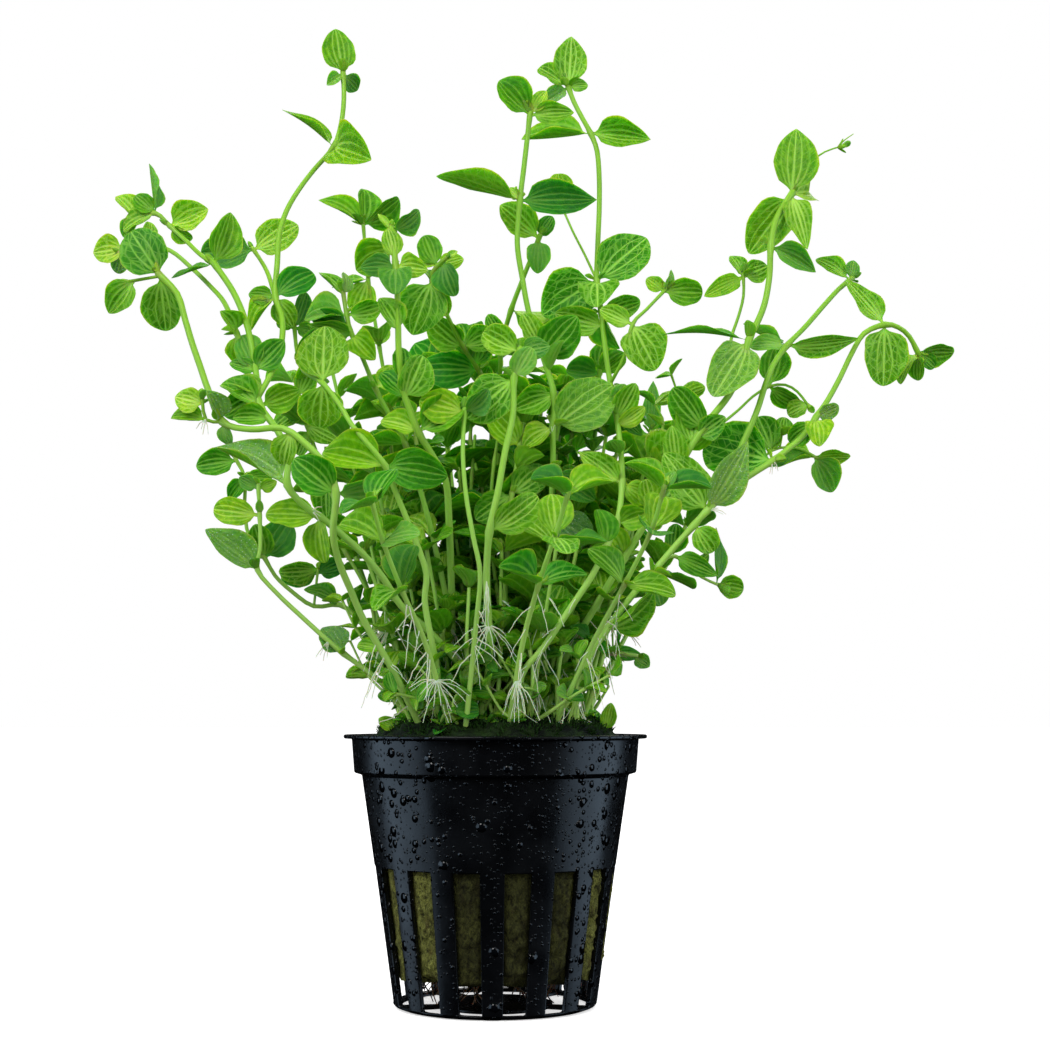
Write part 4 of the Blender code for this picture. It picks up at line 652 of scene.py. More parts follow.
# Leaves with a look of their own: where the middle of each is seen, then its look
LOOKS = (
    (-35.0, 165.6, 0.45, 0.3, 0, 0.2, 0.7, 0), (-27.7, 159.8, 0.55, 0.6, 0, 0, 1, 0),
    (-63.3, 153.0, 0.50, 0.2, 0, 1, 0.5, 0), (-69.9, 149.3, 0.80, 0.9, 0, 0, 1, 0),
    (-65.8, 150.7, 0.25, 0.3, 0, 0, 1, 0), (-59.6, 146.9, 0.80, 1.0, 0, 0, 0.9, 0),
    (-48.5, 144.9, 0.40, 0.5, 0, 0, 0.9, 0), (-41.8, 143.6, 0.65, 1.0, 0, 0, 0.9, 0),
    (-66.2, 141.1, 0.15, 1.0, 0, 0.5, 1, 0), (-72.3, 141.1, 1.00, 1.0, 0, 0, 1, 0),
    (-70.5, 132.5, 0.35, 0.7, 0, 0, 1, 0), (-62.6, 130.3, 0.30, 0.9, 0, 0, 1, 0),
    (-56.0, 136.7, 0.40, 0.1, 0, 1, 0.6, 0), (-38.2, 134.1, 0.00, 0.3, 0, 0.4, 1, 0),
    (-31.4, 122.6, 0.45, 1.0, 0, 0, 1, 0), (-28.3, 150.1, 0.55, 0.3, 0, 0.2, 0.6, 0),
    (-21.1, 148.6, 0.65, 0.5, 0, 0.2, 0.5, 0), (-24.5, 141.1, 0.55, 0.2, 0, 0, 1, 0),
    (-3.5, 154.1, 0.60, 0.8, 0, 0.3, 0.9, 35), (12.5, 148.0, 0.05, 0.4, 0, 0.7, 0.8, -60),
    (4.6, 146.5, 0.50, 0.8, 0, 0, 0.9, 0), (9.8, 144.8, 0.10, 0.3, 0, 0, 1, 0),
    (9.5, 139.6, 0.75, 0.2, 0, 0.9, 0.85, 0), (23.7, 139.8, 0.12, 1.0, 0, 0, 0.85, 0),
    (15.3, 132.9, 0.10, 1.0, 0, 0.2, 1, 0), (24.7, 129.7, 0.50, 0.8, 0, 0, 1, 0),
    (27.7, 122.6, 0.40, 1.0, 0, 0, 1, 0), (36.5, 125.9, 0.45, 0.1, 0, 1, 0.3, 0),
    (42.7, 134.1, 0.60, 0.1, 0, 0.2, 0.8, 0), (43.0, 118.8, 0.40, 0.9, 0.6, 0.2, 1, 0),
    (17.7, 113.1, 0.40, 0.8, 0.5, 0.4, 1, 0), (-0.5, 113.1, 0.20, 1.0, 0, 0, 1, 0),
    (-4.2, 125.3, 0.20, 0.8, 0, 0, 1, 0), (-8.6, 119.6, 0.00, 0.4, 0, 0.2, 1, 0),
    (29.5, 111.9, 0.50, 0.1, 0, 0.8, 0.7, 0), (51.5, 158.3, 0.45, 0.7, 0, 0, 0.95, 0),
    (72.7, 120.7, 0.35, 1.0, 0, 0, 1, 0), (50.5, 128.0, 0.40, 0.1, 0, 1, 0.4, 0),
    (57.7, 140.4, 0.45, 0.4, 0, 0.8, 0.8, 0), (80.7, 119.4, 0.10, 0.4, 0, 0, 1, 0),
    (-46.6, 101.6, 0.45, 0.6, 1, 0.3, 0.9, 0), (-48.0, 85.2, 0.40, 0.3, 1, 0.3, 0.9, 0),
    (42.6, 96.3, 0.50, 0.6, 1, 0.2, 0.8, 0), (-52.0, 114.0, 0.45, 0.3, 1, 0.4, 0.9, 0),
    (57.1, 145.9, 0.50, 0.8, 0, 0, 0.7, 0), (45.9, 105.4, 0.05, 1.0, 0, 0, 1.15, 0),
    (-30.1, 179.6, 0.40, 0.5, 0, 0, 0.92, 0), (13.4, 177.4, 0.40, 1.0, 0, 0, 0.92, 0),
    (3.6, 171.3, 0.25, 0.3, 0, 0, 0.85, 0), (23.3, 163.6, 0.35, 0.7, 0, 0.2, 0.8, 0),
    (11.1, 168.4, 0.40, 0.5, 0, 0, 0.9, 0), (12.0, 164.0, 0.45, 0.6, 0, 0.3, 0.8, 0),
    (61.8, 121.7, 0.35, 0.9, 0, 0.2, 0.62, 0), (26.7, 72.0, 0.30, 0.8, 0, 0, 0.8, 0),
    (43.2, 82.9, 0.35, 0.1, 0, 0.9, 0.5, 0), (70.1, 131.4, 0.35, 0.8, 0, 0.1, 0.8, 0),
    (62.9, 137.9, 0.30, 0.6, 0, 0.1, 0.75, 0),
)
LOOK_REACH = 6.0
LOOK_PULL = 0.05
LOOK_SHARE = 0.55
STEM_PULL = 0.08

# The bush's dense part as the front view shows it: its half widths at some heights, its top across the view
BUSH_HEIGHTS = (52, 65, 75, 85, 95, 105, 114, 126)
BUSH_LEFT = (19, 25, 29, 32, 38, 44, 42, 24)
BUSH_RIGHT = (19, 24, 30, 34, 37, 38, 32, 20)
BUSH_ACROSS = (-46, -30, -18, 3, 10, 20, 27, 40)
BUSH_TOP = (109, 115, 125, 124, 126, 118, 112, 105)

# Places where the white ground shows between the leaves: where they are seen, and how wide they are
GAPS = ((-9.8, 106.5, 4.0), (-2.0, 106.5, 1.6), (25.3, 106.0, 3.0), (38.4, 103.0, 1.6), (-28.0, 89.5, 1.8))
GAP_EDGE = 3.4


class Skin:
    """A mesh in the making, with the values that its materials read at each point."""

    def __init__(self):
        self.count = 0
        self.points = []
        self.values = {"blade": [], "flat": [], "look": []}
        self.faces = []
        self.finishes = []

    def add(self, points, faces, flat, blade=(0, 0, 0), look=(0, 0, 0), finish=0):
        """Adds points, faces as lists of their numbers, and the values of each point or of all of them."""
        number = len(points)
        self.points.append(np.array(points))
        for name, rows in (("blade", blade), ("flat", flat), ("look", look)):
            self.values[name].append(np.broadcast_to(np.asarray(rows, float), (number, 3)))
        self.faces += [[self.count + i for i in face] for face in faces]
        self.finishes += [finish] * len(faces)
        self.count += number

    def piece(self, name, finishes, node=None, slot="plant"):
        """Makes the piece, riding on the part, in place of a node if one is named."""
        data = bpy.data.meshes.new(name)
        data.from_pydata((np.concatenate(self.points) * MM).tolist(), [], self.faces)
        for value, rows in self.values.items():
            made = data.attributes.new(value, "FLOAT_VECTOR", "POINT")
            made.data.foreach_set("vector", np.concatenate(rows).astype(np.float32).ravel())
        for finish in finishes:
            data.materials.append(finish)
        data.polygons.foreach_set("material_index", self.finishes)
        dressed(name, data, 70, node)


def dressed(name, data, sharp_degrees, node):
    """The piece of this mesh, smooth but for its sharp edges, in its place on the part."""
    data.shade_smooth()
    data.set_sharp_from_angle(angle=math.radians(sharp_degrees))
    made = bpy.data.objects.new(name, data)
    bpy.context.scene.collection.objects.link(made)
    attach(made, "root")
    if node:
        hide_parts(node)
    return made


def numbered_pieces(skins, name, finishes):
    for number, skin in enumerate(skins):
        skin.piece(f"{name}_{number + 1}", finishes)


# Places and directions


def clipped(value):
    return min(1.0, max(0.0, value))


def on_circle(radius, turn, height):
    return Vector((radius * math.cos(turn), radius * math.sin(turn), height))


def around(radius, height, degrees):
    """A point round the pot's axis, with 0 degrees at the front and turning to the right."""
    turn = math.radians(degrees)
    return Vector((radius * math.sin(turn), -radius * math.cos(turn), height))


def jolt(reach, dice):
    """A shift of at most this far along each axis."""
    return Vector([dice.uniform(-reach, reach) for _ in range(3)])


def heading_at(points, i):
    """The way that a line of points takes at its point number i."""
    return (points[min(i + 1, len(points) - 1)] - points[max(i - 1, 0)]).normalized()


def distance_to(point, others):
    return min(((point - other).length for other in others), default=FAR)


def seen_place(point):
    """Where the eye sees this point in the plane y = 0."""
    share = 1 + point.y / VIEW_DISTANCE
    return Vector((point.x / share, VIEW_HEIGHT + (point.z - VIEW_HEIGHT) / share))


def nearest_stem(stem_points, spot, front_pull=STEM_PULL):
    """The stems' point that the eye sees nearest to this place, rather a near one than a far one."""
    return min(stem_points, key=lambda point: (seen_place(point) - spot).length + front_pull * point.y)


def inside_bush(point):
    """Whether this point, as the front view shows it, lies in the dense part of the bush."""
    across, height = seen_place(point)
    left = np.interp(height, BUSH_HEIGHTS, BUSH_LEFT)
    right = np.interp(height, BUSH_HEIGHTS, BUSH_RIGHT)
    return -left < across < right and height < np.interp(across, BUSH_ACROSS, BUSH_TOP)


def painted_shade(point):
    """How much painted shade a leaf gets for its depth in the bush: 0 at its outside, 1 at the back or low
    in the middle.
    """
    behind = clipped((point.y - SHADE_FRONT) / SHADE_DEPTH)
    middle = 1 - clipped(abs(point.x) / SHADE_HALF_WIDTH)
    low = clipped((SHADE_HIGH - point.z) / SHADE_FALL)
    return min(1.0, behind * (point.z < SHADE_BACK_TOP) + SHADE_LOW_SHARE * middle * low)


def ring_faces(rings, columns):
    """Quads between rings of so many points each, and a face over either end."""
    faces = [list(reversed(range(columns))), list(range((rings - 1) * columns, rings * columns))]
    for ring in range(rings - 1):
        for k in range(columns):
            a, b = ring * columns + k, ring * columns + (k + 1) % columns
            faces.append((a, b, b + columns, a + columns))
    return faces


# Leaves


def leaf_outline(share, base_power, tip_power):
    """Half of the leaf's width at this share of its length, where the widest place is 1."""
    blade = np.clip((share - PETIOLE_SHARE) / (1 - PETIOLE_SHARE), 0, 1)
    widest = base_power / (base_power + tip_power)
    return blade**base_power * (1 - blade) ** tip_power / (widest**base_power * (1 - widest) ** tip_power)


def along_leaf(pose, share):
    return pose.base + pose.along * pose.length * share


def edge_point(pose, share, side):
    """A point of the solid leaf's edge."""
    reach = side * leaf_outline(share, LEAF_BASE_POWER, LEAF_TIP_POWER)
    rise = pose.width * LEAF_CUP * reach**2 - LEAF_CURL * share**2
    across = pose.along.cross(pose.up)
    place = pose.along * share + across * (reach * pose.width / 2) + pose.up * rise
    return pose.base + place * pose.length


def seen_leaf(base, spec):
    """The pose of a leaf whose direction, length and roll are those of the front view."""
    angle = math.radians(spec.angle)
    tilt = math.radians(spec.tilt)
    flat = math.cos(tilt)
    along = Vector((math.cos(angle) * flat, -math.sin(tilt), math.sin(angle) * flat))
    facing = Vector((0, -1, 0))
    up = (facing - along * facing.dot(along)).normalized()
    up = Matrix.Rotation(math.radians(spec.roll), 3, along) @ up
    share = 1 + base.y / VIEW_DISTANCE
    return Pose(base, along, up, spec.length * share / flat, spec.width, False)


def paired_leaf(base, direction, spec, half_turn, rise_degrees=PAIR_RISE):
    """The pose of one leaf of an opposite pair, rising from the stem with its face up the stem."""
    sideways = direction.cross(Vector((0, 1, 0))).normalized()
    turn = math.radians(spec.turn + half_turn)
    outward = Matrix.Rotation(turn, 3, direction) @ sideways
    rise = math.radians(rise_degrees)
    along = outward * math.cos(rise) + direction * math.sin(rise)
    up = direction * math.cos(rise) - outward * math.sin(rise)
    return Pose(base, along, up, spec.length, spec.width, True)


def opposite_leaves(base, direction, spec, rises, dice):
    """The poses of a pair whose two leaves rise differently."""
    for half_turn in (0, 180):
        yield paired_leaf(base, direction, spec, half_turn, dice.uniform(*rises))


def twig_leaves(points, turns, lengths, widths, rises, dice):
    """The poses of unlike opposite leaves at each point of a twig but its first."""
    for before, point in zip(points, points[1:]):
        turned = dice.uniform(*turns)
        for half_turn in (0, 180):
            spec = pair(dice.uniform(*lengths), turned, dice.uniform(*widths))
            yield paired_leaf(point, (point - before).normalized(), spec, half_turn, dice.uniform(*rises))


def rooted(pose, stem_row):
    """The pose with its base moved out to lie between the stem's axis and its skin."""
    return pose._replace(base=pose.base + pose.along * stem_row.thin * LEAF_ROOT)


def tried(pose, turn, scale):
    """The pose tilted towards the eye by this turn, and scaled."""
    axis = pose.along.cross(Vector((0, 1, 0)))
    if axis.length < SHORT_AXIS:
        axis = Vector((0, 0, 1))
    spin = Matrix.Rotation(math.radians(turn), 3, axis.normalized())
    return pose._replace(along=spin @ pose.along, up=spin @ pose.up, length=pose.length * scale)


def poses_on(stem_row):
    """The first choice of pose of every leaf on a stem."""
    points = [station.point for station in stem_row.stations]
    for i, station in enumerate(stem_row.stations):
        for spec in station.leaves:
            if isinstance(spec, Leaf):
                yield rooted(seen_leaf(station.point, spec), stem_row)
            else:
                direction = heading_at(points, i)
                for half_turn in (0, 180):
                    yield rooted(paired_leaf(station.point, direction, spec, half_turn), stem_row)


def as_in_solid(pose, corners):
    """The one of the tried poses whose edge runs through the solid's own corners."""
    for turn, scale in TRIALS:
        trial = tried(pose, turn, scale)
        simple = trial.plain or trial.length <= SMALL_LEAF
        shares = SMALL_LEAF_STATIONS if simple else LEAF_STATIONS
        edge = [edge_point(trial, share, side) for share in shares for side in (1, -1)]
        edge.append(edge_point(trial, 1.0, 0))
        if sum(corners.find(point * MM)[2] < SAME_POINT * MM for point in edge) >= len(edge) - 1:
            return trial
    return None


@lru_cache
def blade_faces(rows, columns):
    """A blade's quads above and below, which share its rim, and which points have another one below."""
    number = (rows + 1) * (columns + 1)
    grid = np.arange(number).reshape(rows + 1, columns + 1)
    inner = np.zeros_like(grid, bool)
    inner[1:-1, 1:-1] = True
    below = grid.copy()
    below[inner] = number + np.arange(inner.sum())
    faces = []
    for i in range(rows):
        for j in range(columns):
            faces.append((grid[i, j], grid[i, j + 1], grid[i + 1, j + 1], grid[i + 1, j]))
            faces.append((below[i, j], below[i + 1, j], below[i + 1, j + 1], below[i, j + 1]))
    return [[int(i) for i in face] for face in faces], inner


def leaf_edge(pose, look, share, side, dice):
    """The blade's plain outline, its half width with small irregular waves, and the phase of the waves."""
    tips = NARROWED_TIPS if look.slim < 1 else ROUND_TIPS
    tip_power = dice.uniform(*(SLENDER_TIPS if pose.width < SLENDER else tips))
    outline = leaf_outline(share, dice.uniform(*BASES), tip_power)
    neck = np.where(share < 0.5, PETIOLE_HALF, TIP_HALF) / pose.length
    half = np.maximum(outline * pose.width / 2, np.minimum(neck, pose.width / 4))
    phase = dice.uniform(0, math.tau)
    wave = EDGE_WAVE * np.sign(side) * np.sin(phase + EDGE_WAVES * share)
    notch = EDGE_NOTCH * np.sin(2 * phase + EDGE_NOTCHES * share)
    return outline, half * (1 + wave + notch), phase


def leaf_rise(pose, outline, share, side, phase, dice):
    """How far the blade rises from its plane as a share of its length: cupped, folded, ruffled, arched."""
    cup = dice.uniform(*CUPS) * LEAF_CUP
    rise = pose.width * cup * (side * outline) ** 2 - LEAF_CURL * share**2
    rise = rise + dice.choice(FOLDS) * pose.width * np.abs(side) * outline
    ruffle = dice.uniform(*RUFFLES) * RUFFLE * side**2
    rise = rise + ruffle * np.sin(phase + RUFFLES_ALONG * share + RUFFLES_ACROSS * side) * outline
    return rise + dice.uniform(*ARCHES) * np.sin(math.pi * share) - dice.uniform(*DROOPS) * share**3


def leaf_skin(skin, pose, look, dice, fine=True):
    """A thin closed blade: its skin bulges between veins that fan out from the base."""
    rolled = Matrix.Rotation(math.radians(look.roll), 3, pose.along) @ pose.up
    pose = pose._replace(up=rolled, width=pose.width * look.slim)
    rows, columns = LEAF_GRID if fine else SMALL_LEAF_GRID
    share = (0.5 - 0.5 * np.cos(np.pi * np.linspace(0, 1, rows + 1)))[:, None]
    side = np.linspace(-1, 1, columns + 1)[None, :]
    outline, half, phase = leaf_edge(pose, look, share, side, dice)
    rise = leaf_rise(pose, outline, share, side, phase, dice)
    twist = dice.uniform(*TWISTS) * share

    along, up, base = (np.array(v) for v in (pose.along, pose.up, pose.base))
    across = np.array(pose.along.cross(pose.up))
    run = share * pose.length * np.ones_like(side)
    wide = side * half * pose.length
    middle = (
        base
        + along * run[..., None]
        + across * (wide * np.cos(twist))[..., None]
        + up * (rise * pose.length + wide * np.sin(twist))[..., None]
    )
    body = np.sqrt(np.maximum(0, 1 - side**2)) * np.minimum(1, outline + 0.3) * np.ones_like(share)
    fanned = np.abs(side) / (VEIN_FAN + (1 - VEIN_FAN) * share)
    quilt = -QUILT * np.cos(math.tau * VEINS_PER_SIDE * fanned) * outline * share**0.5
    quilt = quilt * min(1, pose.length / QUILTED_LENGTH)
    top = middle + up * (LEAF_SKIN / 2 * body + quilt * body)[..., None]
    under = middle + up * (-LEAF_SKIN / 2 * body + quilt * body)[..., None]

    faces, inner = blade_faces(rows, columns)
    offset = dice.randint(0, 50) + min(0.99, look.blue)
    reach = half * pose.length * np.ones_like(side)
    blade = np.stack([share + 0 * side, side + 0 * share, reach], -1)
    flat = np.stack([run, wide + offset, offset + 0 * reach], -1)
    look_top = np.broadcast_to((look.tone, look.pale, look.wet), top.shape)
    look_under = np.broadcast_to((look.tone + UNDER_TONE, look.pale, look.wet - 1), top.shape)
    layers = ((top, under), (flat, flat), (blade, blade), (look_top, look_under))
    points, *values = (np.concatenate([above.reshape(-1, 3), below[inner]]) for above, below in layers)
    skin.add(points, faces, *values)


# Stems


def curve_through(points, step=STEM_STEP):
    """Points along a smooth curve through these, about a step apart."""
    ends = [points[0] * 2 - points[1]] + points + [points[-1] * 2 - points[-2]]
    path = []
    for a, b, c, d in zip(ends, ends[1:], ends[2:], ends[3:]):
        parts = max(1, round((c - b).length / step))
        for k in range(parts):
            t = k / parts
            square = (2 * a - 5 * b + 4 * c - d) * t**2
            cube = (3 * b - a - 3 * c + d) * t**3
            path.append(0.5 * ((2 * b) + (c - a) * t + square + cube))
    path.append(points[-1])
    return path


def stem_skin(skin, path, thick, thin, joints, tone, brown, dice, sides=STEM_SIDES, finish=1):
    """A round-cornered tube along the path, swollen at its joints, with a rounded end."""
    last = len(path) - 1
    side = Vector((1, 0, 0)) if abs((path[1] - path[0]).normalized().x) < 0.9 else Vector((0, 1, 0))
    tip = (path[last] - path[last - 1]).normalized()
    rings = [(i, point, 1.0) for i, point in enumerate(path)]
    rings += [(last, path[last] + tip * thin * reach, share) for reach, share in STEM_END]
    points, blade, look = [], [], []
    travelled = 0.0
    before = path[0]
    for i, point, share in rings:
        direction = heading_at(path, i)
        side = (side - direction * side.dot(direction)).normalized()
        other = direction.cross(side)
        travelled += (point - before).length
        before = point
        near = distance_to(point, joints)
        swell = 1 + NODE_SWELL * math.exp(-((near / NODE_REACH) ** 2))
        radius = (thick + (thin - thick) * i / last) * STEM_ROUND * swell * share
        for k in range(sides):
            turn = math.tau * k / sides
            ridge = radius * (1 + STEM_RIDGE * math.cos(4 * turn))
            points.append(point + (side * math.cos(turn) + other * math.sin(turn)) * ridge)
            blade.append((travelled, k / sides, radius))
            look.append((tone, brown * math.exp(-((near / BLUSH_REACH) ** 2)), point.z / 100))
    flat = np.array(points) + dice.uniform(0, 50)
    skin.add(points, ring_faces(len(rings), sides), flat, blade, look, finish)


# The shoots of the solids


def leaf_look(dice, depth):
    """A look by chance. Leaves deep in the bush get darker tones, as painted shade."""
    # Painted shade: the tone is lowered by how deep in the bush the leaf is.
    tone = max(0.0, dice.uniform(*TONES) - PAINTED_SHADE_DARKENS * depth)
    wet = 1.0 if dice.random() > DRY_SHARE else 0.0
    blue = dice.choice(BLUES)
    return Look(tone, dice.uniform(*PALES), wet, blue, 1.0, 0.0)


def looks_by_hand(poses):
    """The looks that LOOKS names, by the number of their leaf in the list."""
    middles = [seen_place(along_leaf(pose, LOOK_SHARE)) for pose in poses]
    named = {}
    for across, height, *look in LOOKS:
        spot = Vector((across, height))
        far = [(middle - spot).length + LOOK_PULL * pose.base.y for middle, pose in zip(middles, poses)]
        nearest = far.index(min(far))
        if (middles[nearest] - spot).length < LOOK_REACH:
            named[nearest] = Look(*look)
    return named


def extra_pairs(stem_row, path, taken, dice):
    """Opposite leaves at joints of the inner bush that the table doesn't name."""
    travelled = 0.0
    wanted = dice.uniform(EXTRA_START, EXTRA_STEP)
    for i in range(1, len(path) - 1):
        travelled += (path[i] - path[i - 1]).length
        point = path[i]
        if travelled < wanted or not EXTRA_LOW < point.z < EXTRA_HIGH:
            continue
        if point.y < EXTRA_FRONT or distance_to(point, taken) < EXTRA_CLEAR:
            continue
        travelled = 0.0
        wanted = EXTRA_STEP * dice.uniform(*EXTRA_STEPS)
        spec = pair(dice.uniform(*EXTRA_LENGTH), dice.uniform(0, 180), dice.uniform(*EXTRA_WIDTH))
        for pose in opposite_leaves(point, heading_at(path, i), spec, EXTRA_RISE, dice):
            if inside_bush(along_leaf(pose, 1)):
                yield rooted(pose, stem_row)


def small_leaves(stem_row, path, joints, dice):
    """Tiny leaves in the leaves' axils and a tuft of them at the shoot's tip."""
    for joint in joints:
        near = min(range(len(path)), key=lambda i: (path[i] - joint).length)
        direction = heading_at(path, near)
        for _ in range(dice.choice(AXIL_LEAVES)):
            spec = pair(dice.uniform(*AXIL_LENGTH), dice.uniform(0, 360), dice.uniform(*AXIL_WIDTH))
            yield rooted(paired_leaf(joint, direction, spec, 0, dice.uniform(*AXIL_RISE)), stem_row)
    direction = (path[-1] - path[-2]).normalized()
    for half_turn in (0, 180):
        spec = pair(dice.uniform(*TUFT_LENGTH), dice.uniform(-30, 30) + 90, TUFT_WIDTH)
        yield paired_leaf(path[-1], direction, spec, half_turn, dice.uniform(*TUFT_RISE))


def corners_of(node):
    """The solid's own corners, to look places up in."""
    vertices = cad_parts[node].data.vertices
    corners = KDTree(len(vertices))
    for i, vertex in enumerate(vertices):
        corners.insert(vertex.co, i)
    corners.balance()
    return corners


def inner_row(number):
    """The inner shoot, turned as its solid is."""
    corners = corners_of(f"shoot_{FIRST_INNER + number}")
    for turned in inner_turns():
        row = inner_shoot(number, turned)
        if any(as_in_solid(pose, corners) for pose in poses_on(row)):
            return row


def built_leaves(rows):
    """Each row's leaves as its solid has them, with the look of each that LOOKS names."""
    corners = {node: corners_of(node) for node in {row.node for row in rows}}
    found = [[as_in_solid(pose, corners[row.node]) for pose in poses_on(row)] for row in rows]
    found = [[pose for pose in poses if pose] for poses in found]
    named = looks_by_hand([pose for poses in found for pose in poses])
    number = count()
    return [[(pose, named.get(next(number))) for pose in poses] for poses in found]


def grow_shoots(finishes):
    """One piece for each shoot, standing for its solid. Returns points along all the stems."""
    rows = list(STEMS) + [inner_row(number) for number in range(INNER_SHOOTS)]
    leaves = built_leaves(rows)
    stem_points = []
    for node in sorted({row.node for row in rows}):
        skin = Skin()
        own = [(row, poses) for row, poses in zip(rows, leaves) if row.node == node]
        for number, (row, poses) in enumerate(own):
            dice = random.Random(f"{node} {number}")
            points = [station.point.copy() for station in row.stations]
            points[-1] += (points[-1] - points[-2]).normalized() * BUD_LENGTH
            if row.start == "moss":
                points[0].z = min(points[0].z, STEM_FOOT)
            path = curve_through(points)
            joints = [s.point for s in row.stations if s.leaves]
            brown = dice.choice(LOW_BROWNS) if path[0].z < LOW_START else HIGH_BROWN
            stem_skin(skin, path, row.thick, row.thin, joints, dice.uniform(*STEM_TONES), brown, dice)
            stem_points += path
            for pose, look in poses:
                leaf_skin(skin, pose, look or leaf_look(dice, painted_shade(pose.base)), dice)
            for pose in small_leaves(row, path, joints, dice):
                leaf_skin(skin, pose, leaf_look(dice, 0), dice, fine=False)
            for pose in extra_pairs(row, path, joints, dice):
                leaf_skin(skin, pose, leaf_look(dice, painted_shade(pose.base)), dice, fine=False)
        skin.piece(node.replace("shoot", "lindernia"), finishes, node)
    return stem_points


# The crowd of short inner shoots
FILL_SHOOTS = 54
FILL_FOOT_RADIUS = 17.5
FILL_FRONT = -5
FILL_FRONT_TOPS = (58, 82)
FILL_TOPS = (84, 124)
FILL_FRONT_SPREAD = 10
FILL_SPREAD = 20
FILL_STEP = 11
FILL_SWAY = 2
FILL_HEADROOM = 2
FILL_JOINT_STARTS = (3, 7)
FILL_JOINT_STEPS = (6, 9.5)
FILL_SMALL_BELOW = 66
FILL_LENGTHS = (6.5, 10.5)
FILL_SMALL_LENGTHS = (3, 6)
FILL_TIP_LENGTHS = (3, 5.5)
FILL_TIP_RISE = 50
FILL_WIDTHS = (0.62, 0.9)
FILL_RISES = (-5, 45)
FILL_TONES = (0, 0.6)
FILL_BROWN = 0.5
FILL_LEAN = 1.3


def fill_points(number, dice):
    """A short inner shoot, from its foot in the moss up to where it would leave the bush."""
    turn = math.radians(number * GOLDEN_ANGLE)
    foot = on_circle(FILL_FOOT_RADIUS * math.sqrt((number + 0.5) / FILL_SHOOTS), turn, STEM_FOOT)
    front = foot.y < FILL_FRONT
    top = dice.uniform(*(FILL_FRONT_TOPS if front else FILL_TOPS))
    spread = FILL_FRONT_SPREAD if front else FILL_SPREAD
    outward = Vector((foot.x, foot.y, 0)) / FILL_FOOT_RADIUS
    points = [foot]
    steps = max(2, round((top - foot.z) / FILL_STEP))
    for k in range(1, steps + 1):
        share = k / steps
        sway = Vector((dice.uniform(-FILL_SWAY, FILL_SWAY), dice.uniform(-FILL_SWAY, FILL_SWAY), 0))
        point = foot + outward * spread * (top - STEM_FOOT) / 60 * share**FILL_LEAN + sway
        point.z = foot.z + (top - foot.z) * share
        if not inside_bush(point + Vector((0, 0, FILL_HEADROOM))):
            break
        points.append(point)
    return points


def fill_leaves(path, dice):
    """The joints of a short inner shoot, and the poses of the leaves at them and at its tip."""
    joints, poses = [], []
    travelled, wanted, turned = 0.0, dice.uniform(*FILL_JOINT_STARTS), dice.uniform(0, 180)
    for i in range(1, len(path) - 1):
        travelled += (path[i] - path[i - 1]).length
        if travelled < wanted:
            continue
        travelled, wanted = 0.0, dice.uniform(*FILL_JOINT_STEPS)
        joints.append(path[i])
        turned += 90 + dice.uniform(-20, 20)
        lengths = FILL_LENGTHS if path[i].z > FILL_SMALL_BELOW else FILL_SMALL_LENGTHS
        spec = pair(dice.uniform(*lengths), turned, dice.uniform(*FILL_WIDTHS))
        poses += opposite_leaves(path[i], heading_at(path, i), spec, FILL_RISES, dice)
    direction = (path[-1] - path[-3]).normalized()
    for quarter in (0, 90, 180, 270):
        spec = pair(dice.uniform(*FILL_TIP_LENGTHS), turned + quarter)
        poses.append(paired_leaf(path[-1], direction, spec, 0, FILL_TIP_RISE))
    return joints, poses


def in_gap(pose):
    """Whether the middle of this leaf would close one of the gaps."""
    seen = seen_place(along_leaf(pose, 0.5))
    return any((seen - Vector(place)).length < radius + GAP_EDGE for *place, radius in GAPS)


def grow_fill(finishes):
    """The crowd of short inner shoots that closes the bush, leaning out from the moss in all directions."""
    skins = [Skin() for _ in range(3)]
    for number in range(FILL_SHOOTS):
        dice = random.Random(f"fill {number}")
        points = fill_points(number, dice)
        if len(points) < 3:
            continue
        skin = skins[number % len(skins)]
        path = curve_through(points)
        joints, poses = fill_leaves(path, dice)
        tone = dice.uniform(*FILL_TONES)
        stem_skin(skin, path, INNER_THICK, INNER_THIN, joints, tone, FILL_BROWN, dice, sides=8)
        for pose in poses:
            if not in_gap(pose) and inside_bush(along_leaf(pose, 1)) and inside_bush(pose.base):
                leaf_skin(skin, pose, leaf_look(dice, painted_shade(pose.base)), dice, fine=False)
    numbered_pieces(skins, "inner_shoots", finishes)


# Small growth on the moss: rosettes, and thin crooked side shoots between the stems
ROSETTES = 40
ROSETTE_LEAVES = (4, 7)
ROSETTE_TURN = 64
ROSETTE_STRAY = (-15, 15)
ROSETTE_TURN_STRAY = (-12, 12)
ROSETTE_LENGTHS = (2.0, 4.2)
ROSETTE_WIDTHS = (0.5, 0.8)
ROSETTE_RISES = (10, 65)
ROSETTE_INNER = 5
ROSETTE_LEAN = 0.03
# Painted shade: the rosettes and the low shoots' leaves get darker tones near the moss.
ROSETTE_SHADE = 0.7
LOW_SHADE = 0.4
TANGLE_SHOOTS = 120
TANGLE_RADIUS = 19.0
TANGLE_DEPTH = 21.0
TANGLE_TURNED = 60
TANGLE_THICK = (0.26, 0.55)
TANGLE_THIN = 0.28
TANGLE_TONES = (0.6, 1.2)
TANGLE_HEADING = ((-1, 1), (-0.8, 0.8), (0.7, 1.8))
TANGLE_STEPS = (2, 4)
TANGLE_STEP = (3.5, 6)
TANGLE_BEND = 0.5
MOSS_TOP = 52.4
MOSS_EDGE_DROP = 1.6
TANGLE_FOOT = MOSS_TOP - 1.5
TANGLE_LOWEST = MOSS_TOP + 0.6

